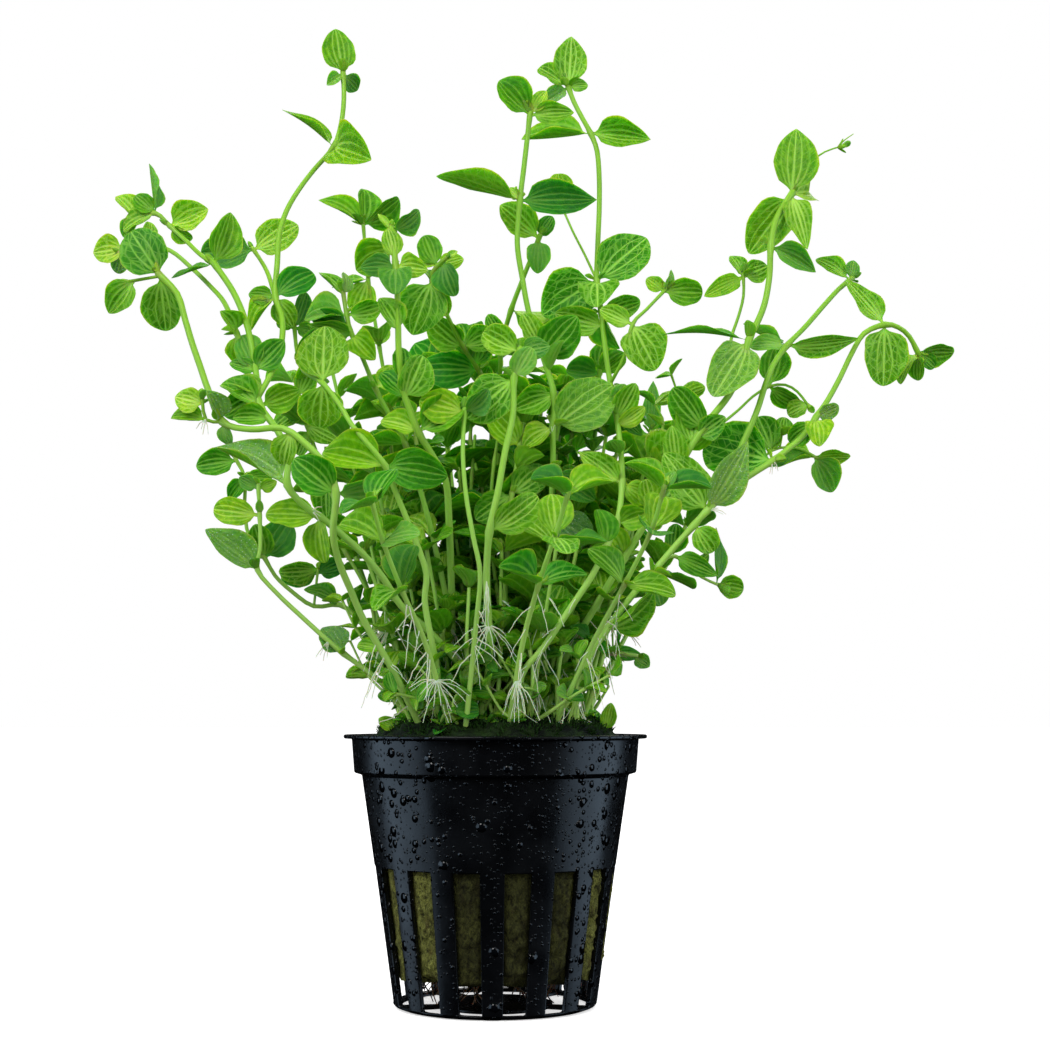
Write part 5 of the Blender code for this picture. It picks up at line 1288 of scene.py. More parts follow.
# The turns, lengths, widths and rises of the leaves on these shoots, and of those on the sprigs
TANGLE_LEAVES = ((0, 180), (2.2, 5.0), (0.55, 0.85), (0, 60))
SPRIG_LEAVES = ((-40, 40), (3.0, 5.5), (0.5, 0.8), (10, 55))


def grow_rosettes(skin, dice):
    for number in range(ROSETTES):
        turn = math.radians(number * GOLDEN_ANGLE + dice.uniform(*ROSETTE_STRAY))
        radius = dice.uniform(ROSETTE_INNER, TANGLE_RADIUS)
        place = on_circle(radius, turn, MOSS_TOP - MOSS_EDGE_DROP * (radius / TANGLE_RADIUS) ** 3)
        leaning = (Vector((place.x, place.y, 0)) * ROSETTE_LEAN + Vector((0, 0, 1))).normalized()
        for k in range(dice.randint(*ROSETTE_LEAVES)):
            length = dice.uniform(*ROSETTE_LENGTHS)
            turned = ROSETTE_TURN * k + dice.uniform(*ROSETTE_TURN_STRAY)
            spec = pair(length, turned, dice.uniform(*ROSETTE_WIDTHS))
            pose = paired_leaf(place, leaning, spec, 0, dice.uniform(*ROSETTE_RISES))
            leaf_skin(skin, pose, leaf_look(dice, ROSETTE_SHADE), dice, fine=False)


def tangle_points(number, dice):
    """A thin crooked shoot, from inside the moss to where it would leave the bush."""
    turn = math.radians(number * GOLDEN_ANGLE + TANGLE_TURNED)
    radius = TANGLE_RADIUS * math.sqrt(dice.uniform(0.05, 1))
    points = [on_circle(radius, turn, TANGLE_FOOT)]
    heading = Vector([dice.uniform(*ends) for ends in TANGLE_HEADING]).normalized()
    for _ in range(dice.randint(*TANGLE_STEPS)):
        heading = (heading + jolt(TANGLE_BEND, dice)).normalized()
        step = points[-1] + heading * dice.uniform(*TANGLE_STEP)
        step.z = max(step.z, TANGLE_LOWEST)
        step.y = min(TANGLE_DEPTH, max(-TANGLE_DEPTH, step.y))
        if not inside_bush(step):
            break
        points.append(step)
    return points


def grow_low(finishes):
    """Rosettes and thin crooked shoots between the feet of the stems."""
    skins = [Skin(), Skin()]
    dice = random.Random("low growth")
    grow_rosettes(skins[0], dice)
    for number in range(TANGLE_SHOOTS):
        skin = skins[number % 2]
        points = tangle_points(number, dice)
        if len(points) < 3:
            continue
        path = curve_through(points, 1.2)
        thick = dice.uniform(*TANGLE_THICK)
        tone = dice.uniform(*TANGLE_TONES)
        stem_skin(skin, path, thick, TANGLE_THIN, points[1:], tone, 0.1, dice, sides=7)
        for pose in twig_leaves(points[1:], *TANGLE_LEAVES, dice):
            if inside_bush(along_leaf(pose, 1)):
                leaf_skin(skin, pose, leaf_look(dice, LOW_SHADE), dice, fine=False)
    numbered_pieces(skins, "low_growth", finishes)


# The spent flower at the top right: four sepals and a thread, at places of along_sight
FLOWER_NECK = (63.3, 160.3, -13.0)
FLOWER_TOP = (65.2, 160.8, -13.0)
FLOWER_BEND = (66.6, 162.3, -13.0)
FLOWER_WISP = (68.3, 163.5, -13.0)
FLOWER_SEPAL = 1.9
FLOWER_SEPAL_WIDTH = 0.42
FLOWER_SEPAL_RISE = 55
FLOWER_TURN = 20
WISP_STEP = 0.8
WISP_THICK = 0.2
WISP_THIN = 0.1

# The two seedlings at the rim: across, height and depth of the base, direction, length, width, tilt and tone
SEEDLINGS = (
    (20.4, 50.1, -7, 78, 5.0, 0.6, 10, 0.6),
    (-18.6, 50.5, -9, 150, 3.4, 0.8, 10, 0.55),
)

# Leaves at joints that the table has bare: foot and tip as they are seen, width, tone, veins, blue
SPRAYS = (
    (-43.8, 117.3, -48.5, 125.5, 0.6, 0.45, 0.4, 0.8), (-43.8, 117.3, -40.0, 123.5, 0.7, 0.10, 0.4, 0.3),
    (-43.8, 112.5, -51.5, 109.0, 0.7, 0.15, 0.7, 0.2), (-36.7, 106.8, -29.5, 104.0, 0.8, 0.35, 0.9, 0.0),
    (-37.0, 106.0, -40.5, 99.5, 0.8, 0.45, 0.8, 0.0), (-28.3, 126.8, -36.0, 128.5, 0.5, 0.05, 0.2, 0.6),
    (-13.0, 116.0, -16.0, 124.5, 0.8, 0.00, 0.4, 0.2), (-9.0, 117.0, -8.5, 125.0, 0.8, 0.05, 0.5, 0.2),
    (-14.0, 114.0, -21.5, 117.5, 0.8, 0.05, 0.4, 0.1), (-6.0, 117.0, -2.0, 124.0, 0.8, 0.10, 0.8, 0.0),
    (-3.0, 121.0, -4.5, 128.0, 0.7, 0.15, 0.5, 0.2), (-8.0, 121.0, -13.0, 127.0, 0.7, 0.40, 0.6, 0.0),
    (12.1, 123.0, 5.5, 128.0, 0.7, 0.45, 0.7, 0.1), (12.1, 122.0, 17.0, 129.0, 0.8, 0.10, 0.5, 0.1),
    (17.7, 125.9, 11.0, 128.5, 0.6, 0.40, 0.8, 0.0), (17.0, 118.0, 21.0, 124.0, 0.8, 0.15, 0.5, 0.1),
    (59.9, 112.5, 55.0, 109.5, 0.9, 0.45, 0.8, 0.0), (59.4, 107.7, 55.5, 104.0, 0.8, 0.15, 0.6, 0.2),
    (57.1, 99.5, 50.0, 99.5, 0.3, 0.10, 0.3, 0.5), (-31.0, 96.0, -32.0, 89.5, 0.8, 0.20, 0.7, 0.1),
    (36.5, 106.8, 43.0, 108.5, 0.8, 0.10, 0.9, 0.0), (-36.0, 118.0, -33.5, 125.0, 0.7, 0.10, 0.5, 0.3),
    (-18.3, 56.4, -22.0, 56.9, 0.6, 0.10, 0.3, 0.2), (22.8, 107.0, 28.0, 110.0, 0.6, 0.95, 0.6, 0.0),
    (22.5, 108.0, 26.3, 114.6, 0.7, 0.35, 0.6, 0.2), (29.5, 101.0, 36.0, 107.6, 0.5, 0.60, 0.4, 0.2),
    (-16.5, 124.5, -21.8, 131.3, 0.8, 0.30, 0.8, 0.0), (-43.8, 113.0, -49.5, 115.5, 0.7, 0.45, 0.6, 0.0),
    (-43.5, 108.5, -49.0, 108.5, 0.7, 0.20, 0.5, 0.2), (-38.0, 110.0, -42.0, 106.0, 0.8, 0.30, 0.7, 0.0),
    (-36.0, 113.0, -34.5, 118.0, 0.8, 0.40, 0.7, 0.0), (-35.0, 106.0, -37.5, 101.5, 0.8, 0.30, 0.5, 0.1),
    (-28.5, 123.5, -35.0, 125.2, 0.5, 0.30, 0.3, 0.4), (-21.0, 139.0, -20.5, 145.0, 0.7, 0.55, 0.7, 0.0),
    (-14.0, 116.0, -17.5, 122.0, 0.7, 0.10, 0.6, 0.1), (-15.0, 113.0, -13.5, 119.5, 0.8, 0.30, 0.8, 0.0),
    (-5.0, 122.0, -7.0, 127.6, 0.7, 0.10, 0.5, 0.1), (0.0, 124.0, -1.5, 127.6, 0.6, 0.15, 0.7, 0.2),
    (20.5, 128.5, 27.5, 130.8, 0.6, 0.30, 0.9, 0.0), (34.0, 106.5, 36.5, 112.8, 0.7, 0.30, 0.6, 0.0),
    (36.0, 108.0, 33.0, 113.8, 0.7, 0.15, 0.6, 0.1), (30.0, 106.0, 30.5, 110.4, 0.6, 0.40, 0.6, 0.0),
    (52.0, 103.0, 49.5, 109.0, 0.8, 0.15, 0.8, 0.0), (52.5, 102.0, 53.2, 106.4, 0.7, 0.40, 0.6, 0.0),
    (33.0, 83.0, 34.0, 88.3, 0.8, 0.10, 0.5, 0.1), (33.0, 80.0, 31.0, 84.6, 0.8, 0.10, 0.6, 0.1),
    (-34.0, 80.0, -40.0, 78.8, 0.7, 0.30, 0.9, 0.0), (-23.0, 64.0, -25.8, 66.0, 0.7, 0.40, 0.5, 0.0),
    (20.5, 65.0, 28.2, 64.3, 0.4, 0.05, 0.3, 0.1), (-46.0, 117.0, -50.0, 119.0, 0.7, 0.10, 0.5, 0.3),
)
SPRAY_LENGTH = 9.5
SPRAY_TILTS = (-25, 25)
SPRAY_ROLLS = (-30, 30)
SEEDLING_ROLLS = (-25, 25)
FINE_SPRAY = 7

# Small sprigs: their joints as they are seen, and the depth
SPRIGS = (
    (((36.5, 106.8), (34.6, 112.5), (33.1, 116.7)), 2.0),
    (((-17.5, 54.0), (-21.5, 62.0), (-26.0, 69.0), (-28.5, 74.0)), -4.0),
    (((-18.0, 54.0), (-23.5, 60.0), (-27.0, 66.5)), 3.0),
    (((29.0, 101.0), (31.5, 107.0), (30.0, 111.0)), -3.0),
)
SPRIG_THICK = 0.42
SPRIG_THIN = 0.28


def grow_details(finishes, stem_points):
    """What the photograph shows singly: the spent flower, seedlings, leaves at bare joints and sprigs."""
    skin = Skin()
    dice = random.Random("details")
    top = along_sight(*FLOWER_TOP)
    direction = (top - along_sight(*FLOWER_NECK)).normalized()
    for turn in (0, 90, 180, 270):
        spec = pair(FLOWER_SEPAL, turn + FLOWER_TURN, FLOWER_SEPAL_WIDTH)
        pose = paired_leaf(top, direction, spec, 0, FLOWER_SEPAL_RISE)
        look = Look(tone=0.6, pale=0.2, wet=0, blue=0, slim=1, roll=0)
        leaf_skin(skin, pose, look, dice, fine=False)
    wisp = curve_through([top, along_sight(*FLOWER_BEND), along_sight(*FLOWER_WISP)], WISP_STEP)
    stem_skin(skin, wisp, WISP_THICK, WISP_THIN, (), 0.6, 0, dice, sides=6)
    for across, height, away, angle, length, width, tilt, tone in SEEDLINGS:
        spec = leaf(angle, length, width, tilt, dice.uniform(*SEEDLING_ROLLS))
        pose = seen_leaf(along_sight(across, height, away), spec)
        leaf_skin(skin, pose, Look(tone, pale=0.4, wet=0, blue=0.2, slim=1, roll=0), dice)
    for foot_x, foot_z, tip_x, tip_z, width, tone, pale, blue in SPRAYS:
        base = nearest_stem(stem_points, Vector((foot_x, foot_z)), front_pull=0.0)
        reach = Vector((tip_x, tip_z)) - seen_place(base)
        angle = math.degrees(math.atan2(reach.y, reach.x))
        length = min(reach.length, SPRAY_LENGTH)
        tilt, roll = dice.uniform(*SPRAY_TILTS), dice.uniform(*SPRAY_ROLLS)
        pose = seen_leaf(base, leaf(angle, length, width, tilt, roll))
        look = Look(tone, pale, wet=0, blue=blue, slim=1, roll=0)
        leaf_skin(skin, pose, look, dice, fine=reach.length > FINE_SPRAY)
    for places, away in SPRIGS:
        points = [along_sight(x, z, away) for x, z in places]
        points[0] = nearest_stem(stem_points, Vector(places[0]))
        stem_skin(skin, curve_through(points), SPRIG_THICK, SPRIG_THIN, points[1:], 0.6, 0.2, dice, sides=8)
        for pose in twig_leaves(points, *SPRIG_LEAVES, dice):
            leaf_skin(skin, pose, leaf_look(dice, 0), dice, fine=False)
    skin.piece("flower_and_seedlings", finishes)


# Bunches of fine roots: where each leaves its stem as it is seen, how many, between which two directions,
# how long, and whether they are white (0) or brown (1)
ROOT_BUNCHES = (
    (-1.4, 77.2, 5, -98, -78, 8.0, 0.0), (-1.0, 69.2, 9, -172, -20, 7.0, 0.0),
    (-11.0, 59.6, 12, -190, 10, 6.5, 0.0), (4.6, 59.1, 9, -125, -45, 7.0, 0.0),
    (-19.2, 70.5, 9, -165, -100, 8.5, 0.1), (-21.7, 62.9, 3, -120, -108, 10.0, 0.2),
    (-7.2, 69.2, 5, -100, -65, 8.5, 0.0), (16.4, 69.2, 6, -145, -90, 7.5, 0.1),
    (20.9, 64.8, 4, -14, 12, 5.5, 0.8), (24.7, 68.6, 3, -65, -30, 4.0, 0.3),
    (8.0, 69.0, 4, -110, -60, 5.0, 0.1), (-15.0, 61.0, 5, -130, -70, 7.0, 0.1),
    (12.0, 62.0, 6, -130, -50, 7.0, 0.0), (-48.5, 121.7, 4, -125, -60, 2.6, 0.0),
    (-54.0, 108.0, 4, -150, -60, 2.8, 0.1), (53.0, 98.5, 4, -120, -40, 2.6, 0.3),
    (42.0, 88.5, 3, -20, 30, 3.6, 0.2), (-38.0, 84.7, 4, -60, 40, 3.0, 0.1),
    (-32.0, 64.5, 4, -140, -90, 4.0, 0.2), (8.6, 106.0, 3, 60, 150, 2.6, 0.1),
    (5.0, 90.0, 3, -70, -20, 4.0, 0.1),
)
LOW_ROOTS = 180
LOW_ROOT_HEIGHTS = (54, 74)
LOW_ROOT_BACK = 4
LOW_ROOT_SIDE = 22
LOW_ROOT_TURNS = (-150, -30)
LOW_ROOT_DEPTHS = (-0.4, 0.2)
LOW_ROOT_LENGTHS = (3, 9)
LOW_ROOT_RADII = (0.08, 0.15)
LOW_ROOT_TONES = (0.0, 0.0, 0.0, 0.15)
BUNCH_FRONT = 0.3
BUNCH_STRAY = (0.2, 0.8)
BUNCH_LENGTHS = (0.55, 1.1)
BUNCH_RADII = (0.09, 0.15)
POT_ROOTS = 90
POT_ROOT_RADIUS = 16.6
POT_ROOT_REACH = 16.8
POT_ROOT_ENDS = (1.2, 3.5)
POT_ROOT_STRAY = (-2, 2)
POT_ROOT_TURNS = (-30, 30)
POT_ROOT_BEND = 1.2
POT_ROOT_RADII = (0.12, 0.3)
POT_ROOT_TONES = (1.3, 1.6, 1.9)
ROOT_WANDER = 0.1
ROOT_END = 51.6
ROOT_DRIFTS = (-0.35, 0.05)
ROOT_MIDDLE = 0.5
ROOT_REACH = 0.85
ROOT_SAGS = (0.05, 0.3)
ROOT_THINS = 0.6


def root_skin(skin, points, radius, tone, dice):
    path = curve_through(points, 1.0)
    for point in path[1:-1]:
        point += jolt(ROOT_WANDER, dice)
    stem_skin(skin, path, radius / STEM_ROUND, radius * ROOT_THINS, (), tone, 0, dice, sides=5, finish=0)


def hanging_root(start, heading, length, dice):
    """Three points of a root that sets out this way and sinks, and ends above the moss."""
    drift = Vector((0, dice.uniform(*ROOT_DRIFTS), 0))
    middle = start + (heading + drift) * length * ROOT_MIDDLE
    sag = Vector((0, 0, length * dice.uniform(*ROOT_SAGS)))
    end = start + (heading + drift) * length * ROOT_REACH - sag
    end.z = max(end.z, ROOT_END)
    return [start, middle, end]


def grow_roots(finish, stem_points):
    """Fine roots at the stems' joints, and low down between the stems."""
    skin = Skin()
    dice = random.Random("roots")
    for across, height, number, first, last, length, tone in ROOT_BUNCHES:
        start = nearest_stem(stem_points, Vector((across, height))) - Vector((0, BUNCH_FRONT, 0))
        for k in range(number):
            turn = math.radians(first + (last - first) * (k + dice.uniform(*BUNCH_STRAY)) / number)
            heading = Vector((math.cos(turn), 0, math.sin(turn)))
            points = hanging_root(start, heading, length * dice.uniform(*BUNCH_LENGTHS), dice)
            root_skin(skin, points, dice.uniform(*BUNCH_RADII), tone, dice)
    low, high = LOW_ROOT_HEIGHTS
    starts = [
        point for point in stem_points
        if low < point.z < high and point.y < LOW_ROOT_BACK and abs(point.x) < LOW_ROOT_SIDE
    ]
    for _ in range(LOW_ROOTS):
        start = dice.choice(starts)
        turn = math.radians(dice.uniform(*LOW_ROOT_TURNS))
        heading = Vector((math.cos(turn), dice.uniform(*LOW_ROOT_DEPTHS), math.sin(turn)))
        points = hanging_root(start, heading, dice.uniform(*LOW_ROOT_LENGTHS), dice)
        root_skin(skin, points, dice.uniform(*LOW_ROOT_RADII), dice.choice(LOW_ROOT_TONES), dice)
    skin.piece("fine_roots", [finish])


def grow_pot_roots(finish):
    """Dark roots that have grown out of the wool, down to the cup's floor: real roots, whose darkness is
    painted shade below the wool.
    """
    skin = Skin()
    dice = random.Random("pot roots")
    for number in range(POT_ROOTS):
        degrees = number * GOLDEN_ANGLE
        radius = POT_ROOT_RADIUS * math.sqrt(dice.uniform(0.3, 1))
        start = around(radius, WOOL_FOOT + 1.0, degrees)
        foot_radius = min(POT_ROOT_REACH, radius + dice.uniform(*POT_ROOT_STRAY))
        foot = around(foot_radius, dice.uniform(*POT_ROOT_ENDS), degrees + dice.uniform(*POT_ROOT_TURNS))
        middle = start.lerp(foot, 0.5) + jolt(POT_ROOT_BEND, dice)
        thick, tone = dice.uniform(*POT_ROOT_RADII), dice.choice(POT_ROOT_TONES)
        root_skin(skin, [start, middle, foot], thick, tone, dice)
    skin.piece("pot_roots", [finish])


# The pot, its wool and the moss
POT_HEIGHT = 49.3
RIM_RADIUS = 28.0
RIM_UNDER = POT_HEIGHT - 0.7
RIM_INSIDE = 25.0
COLLAR = ((26.0, 42.4), (26.5, RIM_UNDER))
WALL = 1.0
FLOOR = 0.7
FLOOR_RADII = (10.5, 17.1)
FOOT_EDGE = (18.3, 0.45)
SLOTS = 15
SLOT_ANGLE = 12.8
SLOT_PITCH = 360 / SLOTS
FIRST_SLOT = -13.4
RIBS_PER_SPOKE = 3
SLOT_FOOT = (18.7, 0.9)
SLOT_TOP = (22.15, 25.5)
SHOULDER = (24.6, 42.0)
POT_PROFILE = (
    (FLOOR_RADII[0], 0.0), (FLOOR_RADII[1], 0.0), FOOT_EDGE, SLOT_FOOT, SLOT_TOP, SHOULDER, *COLLAR,
    (RIM_RADIUS, RIM_UNDER), (RIM_RADIUS, POT_HEIGHT), (RIM_INSIDE, POT_HEIGHT),
    *((radius - WALL, height) for radius, height in (SHOULDER, SLOT_TOP, SLOT_FOOT)),
    (FLOOR_RADII[1], FLOOR), (FLOOR_RADII[0], FLOOR),
)
SLOT_RINGS = (3, 4, 12, 13)
FLOOR_RINGS = (0, 1, 14, 15)
PARTS_PER_COLUMN = 5
POT_EDGE = 0.22


def grow_pot(finish):
    """The net cup as its solid is, in finer columns and with rounded edges."""
    rings = len(POT_PROFILE)
    disc_top = rings - 1
    edges, slots, floors = [], [], []
    for i in range(SLOTS):
        centre = FIRST_SLOT + i * 360 / SLOTS
        wall_over_floor = i % RIBS_PER_SPOKE == 0
        rib = SLOT_PITCH - SLOT_ANGLE
        for start, width, slot, floor in (
            (centre - SLOT_ANGLE / 2, SLOT_ANGLE, True, True),
            (centre + SLOT_ANGLE / 2, rib, False, not wall_over_floor),
        ):
            edges += [start + width * part / PARTS_PER_COLUMN for part in range(PARTS_PER_COLUMN)]
            slots += [slot] * PARTS_PER_COLUMN
            floors += [floor] * PARTS_PER_COLUMN
    columns = len(edges)
    verts = [around(radius, height, edge) for edge in edges for radius, height in POT_PROFILE]
    verts += [Vector((0, 0, 0)), Vector((0, 0, FLOOR))]
    under, over = len(verts) - 2, len(verts) - 1
    faces = []
    for column in range(columns):
        here = column * rings
        there = (column + 1) % columns * rings
        open_strips = set()
        for is_open, (a, b, c, d) in ((slots, SLOT_RINGS), (floors, FLOOR_RINGS)):
            if is_open[column]:
                open_strips |= {a, c}
                for first, last in ((d, a), (b, c)):
                    faces.append((here + first, here + last, there + last, there + first))
            if is_open[column] != is_open[column - 1]:
                side = (d, c, b, a) if is_open[column] else (a, b, c, d)
                faces.append(tuple(here + ring for ring in side))
        for ring in range(rings - 1):
            if ring not in open_strips:
                faces.append((here + ring, there + ring, there + ring + 1, here + ring + 1))
        faces.append((under, there, here))
        faces.append((over, here + disc_top, there + disc_top))
    data = bpy.data.meshes.new("net_pot_moulded")
    data.from_pydata([v * MM for v in verts], [], faces)
    data.materials.append(finish)
    edge = dressed("net_pot_moulded", data, 30, "net_pot").modifiers.new("rounded edges", "BEVEL")
    edge.width = POT_EDGE * MM
    edge.segments = 2
    edge.limit_method = "ANGLE"
    edge.angle_limit = math.radians(35)


WOOL_FOOT = 6.3
WOOL_TOP = 45.8
WOOL_CLEARANCE = 0.3
WOOL_COLUMNS = 360
WOOL_ROWS = 76
WOOL_BULGE = 1.1
WOOL_LUMP = 0.5
WOOL_TUFT = 0.55
WOOL_TUFT_LIMIT = 0.25
WOOL_DENT = 0.35
WOOL_SAG = 2.2
WOOL_SAG_ROWS = 16


def slot_share(degrees):
    """1 in the middle of a slot, 0 at its edges and behind the ribs."""
    off = (degrees - FIRST_SLOT + SLOT_PITCH / 2) % SLOT_PITCH - SLOT_PITCH / 2
    return max(0.0, 1 - (abs(off) / (SLOT_ANGLE / 2)) ** 4)


def grow_wool(finish):
    """The wool plug: it swells into the slots, and its skin is a felt of fibres."""
    skin = Skin()
    points = []
    for row in range(WOOL_ROWS + 1):
        height = WOOL_FOOT + (WOOL_TOP - WOOL_FOOT) * row / WOOL_ROWS
        share = (height - SLOT_FOOT[1]) / (SHOULDER[1] - SLOT_FOOT[1])
        wall = SLOT_FOOT[0] + share * (SHOULDER[0] - SLOT_FOOT[0]) - WALL - WOOL_CLEARANCE
        open_height = clipped((SLOT_TOP[1] - height) / 1.5) * clipped((height - WOOL_FOOT) / 2.0)
        for column in range(WOOL_COLUMNS):
            degrees = column * 360 / WOOL_COLUMNS
            place = around(wall, height, degrees)
            lump = noise.fractal(place * 0.35, 0.8, 2.1, 4)
            tuft = noise.fractal(Vector((place.x * 1.1, place.y * 1.1, place.z * 0.7)), 0.9, 2.2, 4)
            bulge = WOOL_BULGE * (0.7 + 0.3 * place.x / wall) + WOOL_LUMP * lump
            bulge = slot_share(degrees) * open_height * bulge
            bulge -= WOOL_DENT * max(0.0, -place.x / wall - 0.6)
            rough = WOOL_TUFT * (tuft - 0.3) * (0.35 + 0.65 * slot_share(degrees))
            sag = WOOL_SAG * noise.noise(place * 0.28) * (1 - clipped(row / WOOL_SAG_ROWS)) ** 2
            points.append(around(wall + bulge + min(rough, WOOL_TUFT_LIMIT), height + sag, degrees))
    skin.add(points, ring_faces(WOOL_ROWS + 1, WOOL_COLUMNS), points)
    skin.piece("rockwool_felted", [finish], "rockwool_plug", "wool")


MOSS_PROFILE = (
    (23.8, 47.6), (23.2, 48.4), (22.0, 49.3), (20.6, 50.8), (17.5, 52.0), (9.0, 52.4), (4.0, 52.5),
)
MOSS_PARTS = 4
MOSS_COLUMNS = 180
MOSS_LUMP = 1.0
MOSS_SPIKES = 9000
MOSS_SPIKE_LENGTH = (0.5, 1.5)
MOSS_SPIKE_WIDTH = 0.13
MOSS_SPIKE_BEND = 0.35
MOSS_SPIKE_LEAN = 0.8
MOSS_SPIKE_RINGS = ((0.0, 0.7), (0.55, 1.0))
MOSS_SPREAD_SHARE = 0.35
MOSS_TONES = (0.2, 1.0)
MOSS_RADIUS = 21.6


def grow_moss(finish):
    """The moss: a lumpy mound and a pile of short curved shoots of its own."""
    skin = Skin()
    rings = [MOSS_PROFILE[0]]
    for (radius_a, height_a), (radius_b, height_b) in zip(MOSS_PROFILE, MOSS_PROFILE[1:]):
        for k in range(1, MOSS_PARTS + 1):
            radius = radius_a + (radius_b - radius_a) * k / MOSS_PARTS
            rings.append((radius, height_a + (height_b - height_a) * k / MOSS_PARTS))
    points = []
    for i, (radius, height) in enumerate(rings):
        for column in range(MOSS_COLUMNS):
            place = around(radius, height, column * 360 / MOSS_COLUMNS)
            lump = noise.fractal(place * 0.42, 0.7, 2.0, 4) * clipped(i / 6)
            points.append(place + Vector((place.x, place.y, 14)).normalized() * lump * MOSS_LUMP)
    skin.add(points, ring_faces(len(rings), MOSS_COLUMNS), points)
    dice = random.Random("moss")
    for _ in range(MOSS_SPIKES):
        inward = 1 - dice.random() ** 0.6
        spread = dice.random() < MOSS_SPREAD_SHARE
        ring = dice.uniform(2, len(rings) - 1) if spread else 2 + inward * (len(rings) - 3)
        foot = points[int(ring) * MOSS_COLUMNS + dice.randrange(MOSS_COLUMNS)]
        if math.hypot(foot.x, foot.y) > MOSS_RADIUS or noise.noise(foot * 0.5) < dice.uniform(-0.5, 0.1):
            continue
        outward = Vector((foot.x, foot.y, dice.uniform(10, 40))).normalized()
        lean = Vector((dice.uniform(-1, 1), dice.uniform(-1, 1), dice.uniform(-0.2, 0.9)))
        spike_skin(skin, foot - outward * 0.2, (outward + lean * MOSS_SPIKE_LEAN).normalized(), dice)
    skin.piece("moss_grown", [finish], "moss_mat", "moss")


def spike_skin(skin, foot, heading, dice):
    """One moss shoot: a thin three-sided spike, bent halfway."""
    length = dice.uniform(*MOSS_SPIKE_LENGTH)
    bend = Vector((dice.uniform(-1, 1), dice.uniform(-1, 1), dice.uniform(-0.5, 1))) * MOSS_SPIKE_BEND
    side = heading.cross(Vector((0, 0, 1)) if abs(heading.z) < 0.9 else Vector((1, 0, 0))).normalized()
    other = heading.cross(side)
    points = []
    for share, width in MOSS_SPIKE_RINGS:
        centre = foot + heading * length * share + bend * length * share**2
        for k in range(3):
            turn = math.tau * k / 3
            spoke = side * math.cos(turn) + other * math.sin(turn)
            points.append(centre + spoke * MOSS_SPIKE_WIDTH * width)
    points.append(foot + heading * length + bend * length)
    faces = [(2, 1, 0)]
    for k in range(3):
        following = (k + 1) % 3
        faces += [(k, following, following + 3, k + 3), (k + 3, following + 3, 6)]
    skin.add(points, faces, points, look=(dice.uniform(*MOSS_TONES), 0, 0))


# Materials, whose distances are metres


class Graph:
    """The nodes of a material or of the world, with short ways to add them."""

    def __init__(self, owner):
        owner.use_nodes = True
        self.owner = owner
        self.tree = owner.node_tree

    def add(self, kind, inputs=None, **settings):
        """A node whose inputs are sockets or plain values."""
        node = self.tree.nodes.new(kind)
        for name, value in settings.items():
            setattr(node, name, value)
        for name, value in (inputs or {}).items():
            self.join(value, node.inputs[name])
        return node

    def join(self, value, socket):
        """Links a socket, or sets a plain value."""
        if isinstance(value, bpy.types.NodeSocket):
            self.tree.links.new(value, socket)
        else:
            socket.default_value = value

    def maths(self, operation, *values, clamp=False):
        node = self.add("ShaderNodeMath", operation=operation, use_clamp=clamp)
        for socket, value in zip(node.inputs, values):
            self.join(value, socket)
        return node.outputs[0]

    def plus(self, first, second):
        return self.maths("ADD", first, second)

    def minus(self, first, second, clamp=False):
        return self.maths("SUBTRACT", first, second, clamp=clamp)

    def times(self, first, second):
        return self.maths("MULTIPLY", first, second)

    def over(self, first, second):
        return self.maths("DIVIDE", first, second)

    def most(self, first, second):
        return self.maths("MAXIMUM", first, second)

    def size(self, value):
        return self.maths("ABSOLUTE", value)

    def ramp(self, value, low, high, to_low=0.0, to_high=1.0):
        """Smooth change from to_low to to_high as value goes from low to high."""
        ends = {"Value": value, "From Min": low, "From Max": high, "To Min": to_low, "To Max": to_high}
        return self.add("ShaderNodeMapRange", ends, interpolation_type="SMOOTHSTEP").outputs["Result"]

    def mix(self, share, first, second):
        """A colour between two, which are sockets or plain colours."""
        node = self.add("ShaderNodeMix", {"Factor": share}, data_type="RGBA")
        for value, socket in ((first, node.inputs[6]), (second, node.inputs[7])):
            self.join((*value, 1) if isinstance(value, tuple) else value, socket)
        return node.outputs[2]

    def parts(self, vector):
        return self.add("ShaderNodeSeparateXYZ", {"Vector": vector}).outputs

    def value(self, name):
        """A value that the mesh carries, and its X, Y and Z."""
        vector = self.add("ShaderNodeAttribute", attribute_name=name).outputs["Vector"]
        return vector, *self.parts(vector)

    def place(self):
        return self.add("ShaderNodeTexCoord").outputs["Object"]

    def scaled(self, where, scale):
        return self.add("ShaderNodeMapping", {"Vector": where, "Scale": scale}).outputs[0]

    def noise(self, where, scale, detail=3.0, roughness=0.55, distortion=0.0):
        inputs = {"Vector": where, "Scale": scale, "Detail": detail, "Roughness": roughness}
        return self.add("ShaderNodeTexNoise", {**inputs, "Distortion": distortion}).outputs["Fac"]

    def cells(self, where, scale, spread=1.0, **settings):
        inputs = {"Vector": where, "Scale": scale, "Randomness": spread}
        return self.add("ShaderNodeTexVoronoi", inputs, **settings).outputs

    def bump(self, height, distance, strength=1.0, normal=None):
        inputs = {"Height": height, "Distance": distance, "Strength": strength}
        if normal:
            inputs["Normal"] = normal
        return self.add("ShaderNodeBump", inputs).outputs["Normal"]

    def finished(self, colour, roughness, normal=None, **plain):
        """The material, with its shader's inputs joined."""
        shader = self.tree.nodes["Principled BSDF"]
        self.join(colour, shader.inputs["Base Color"])
        self.join(roughness, shader.inputs["Roughness"])
        if normal:
            self.join(normal, shader.inputs["Normal"])
        for name, value in plain.items():
            shader.inputs[name.replace("_", " ")].default_value = value
        return self.owner


def material(name):
    return Graph(bpy.data.materials.new(name))


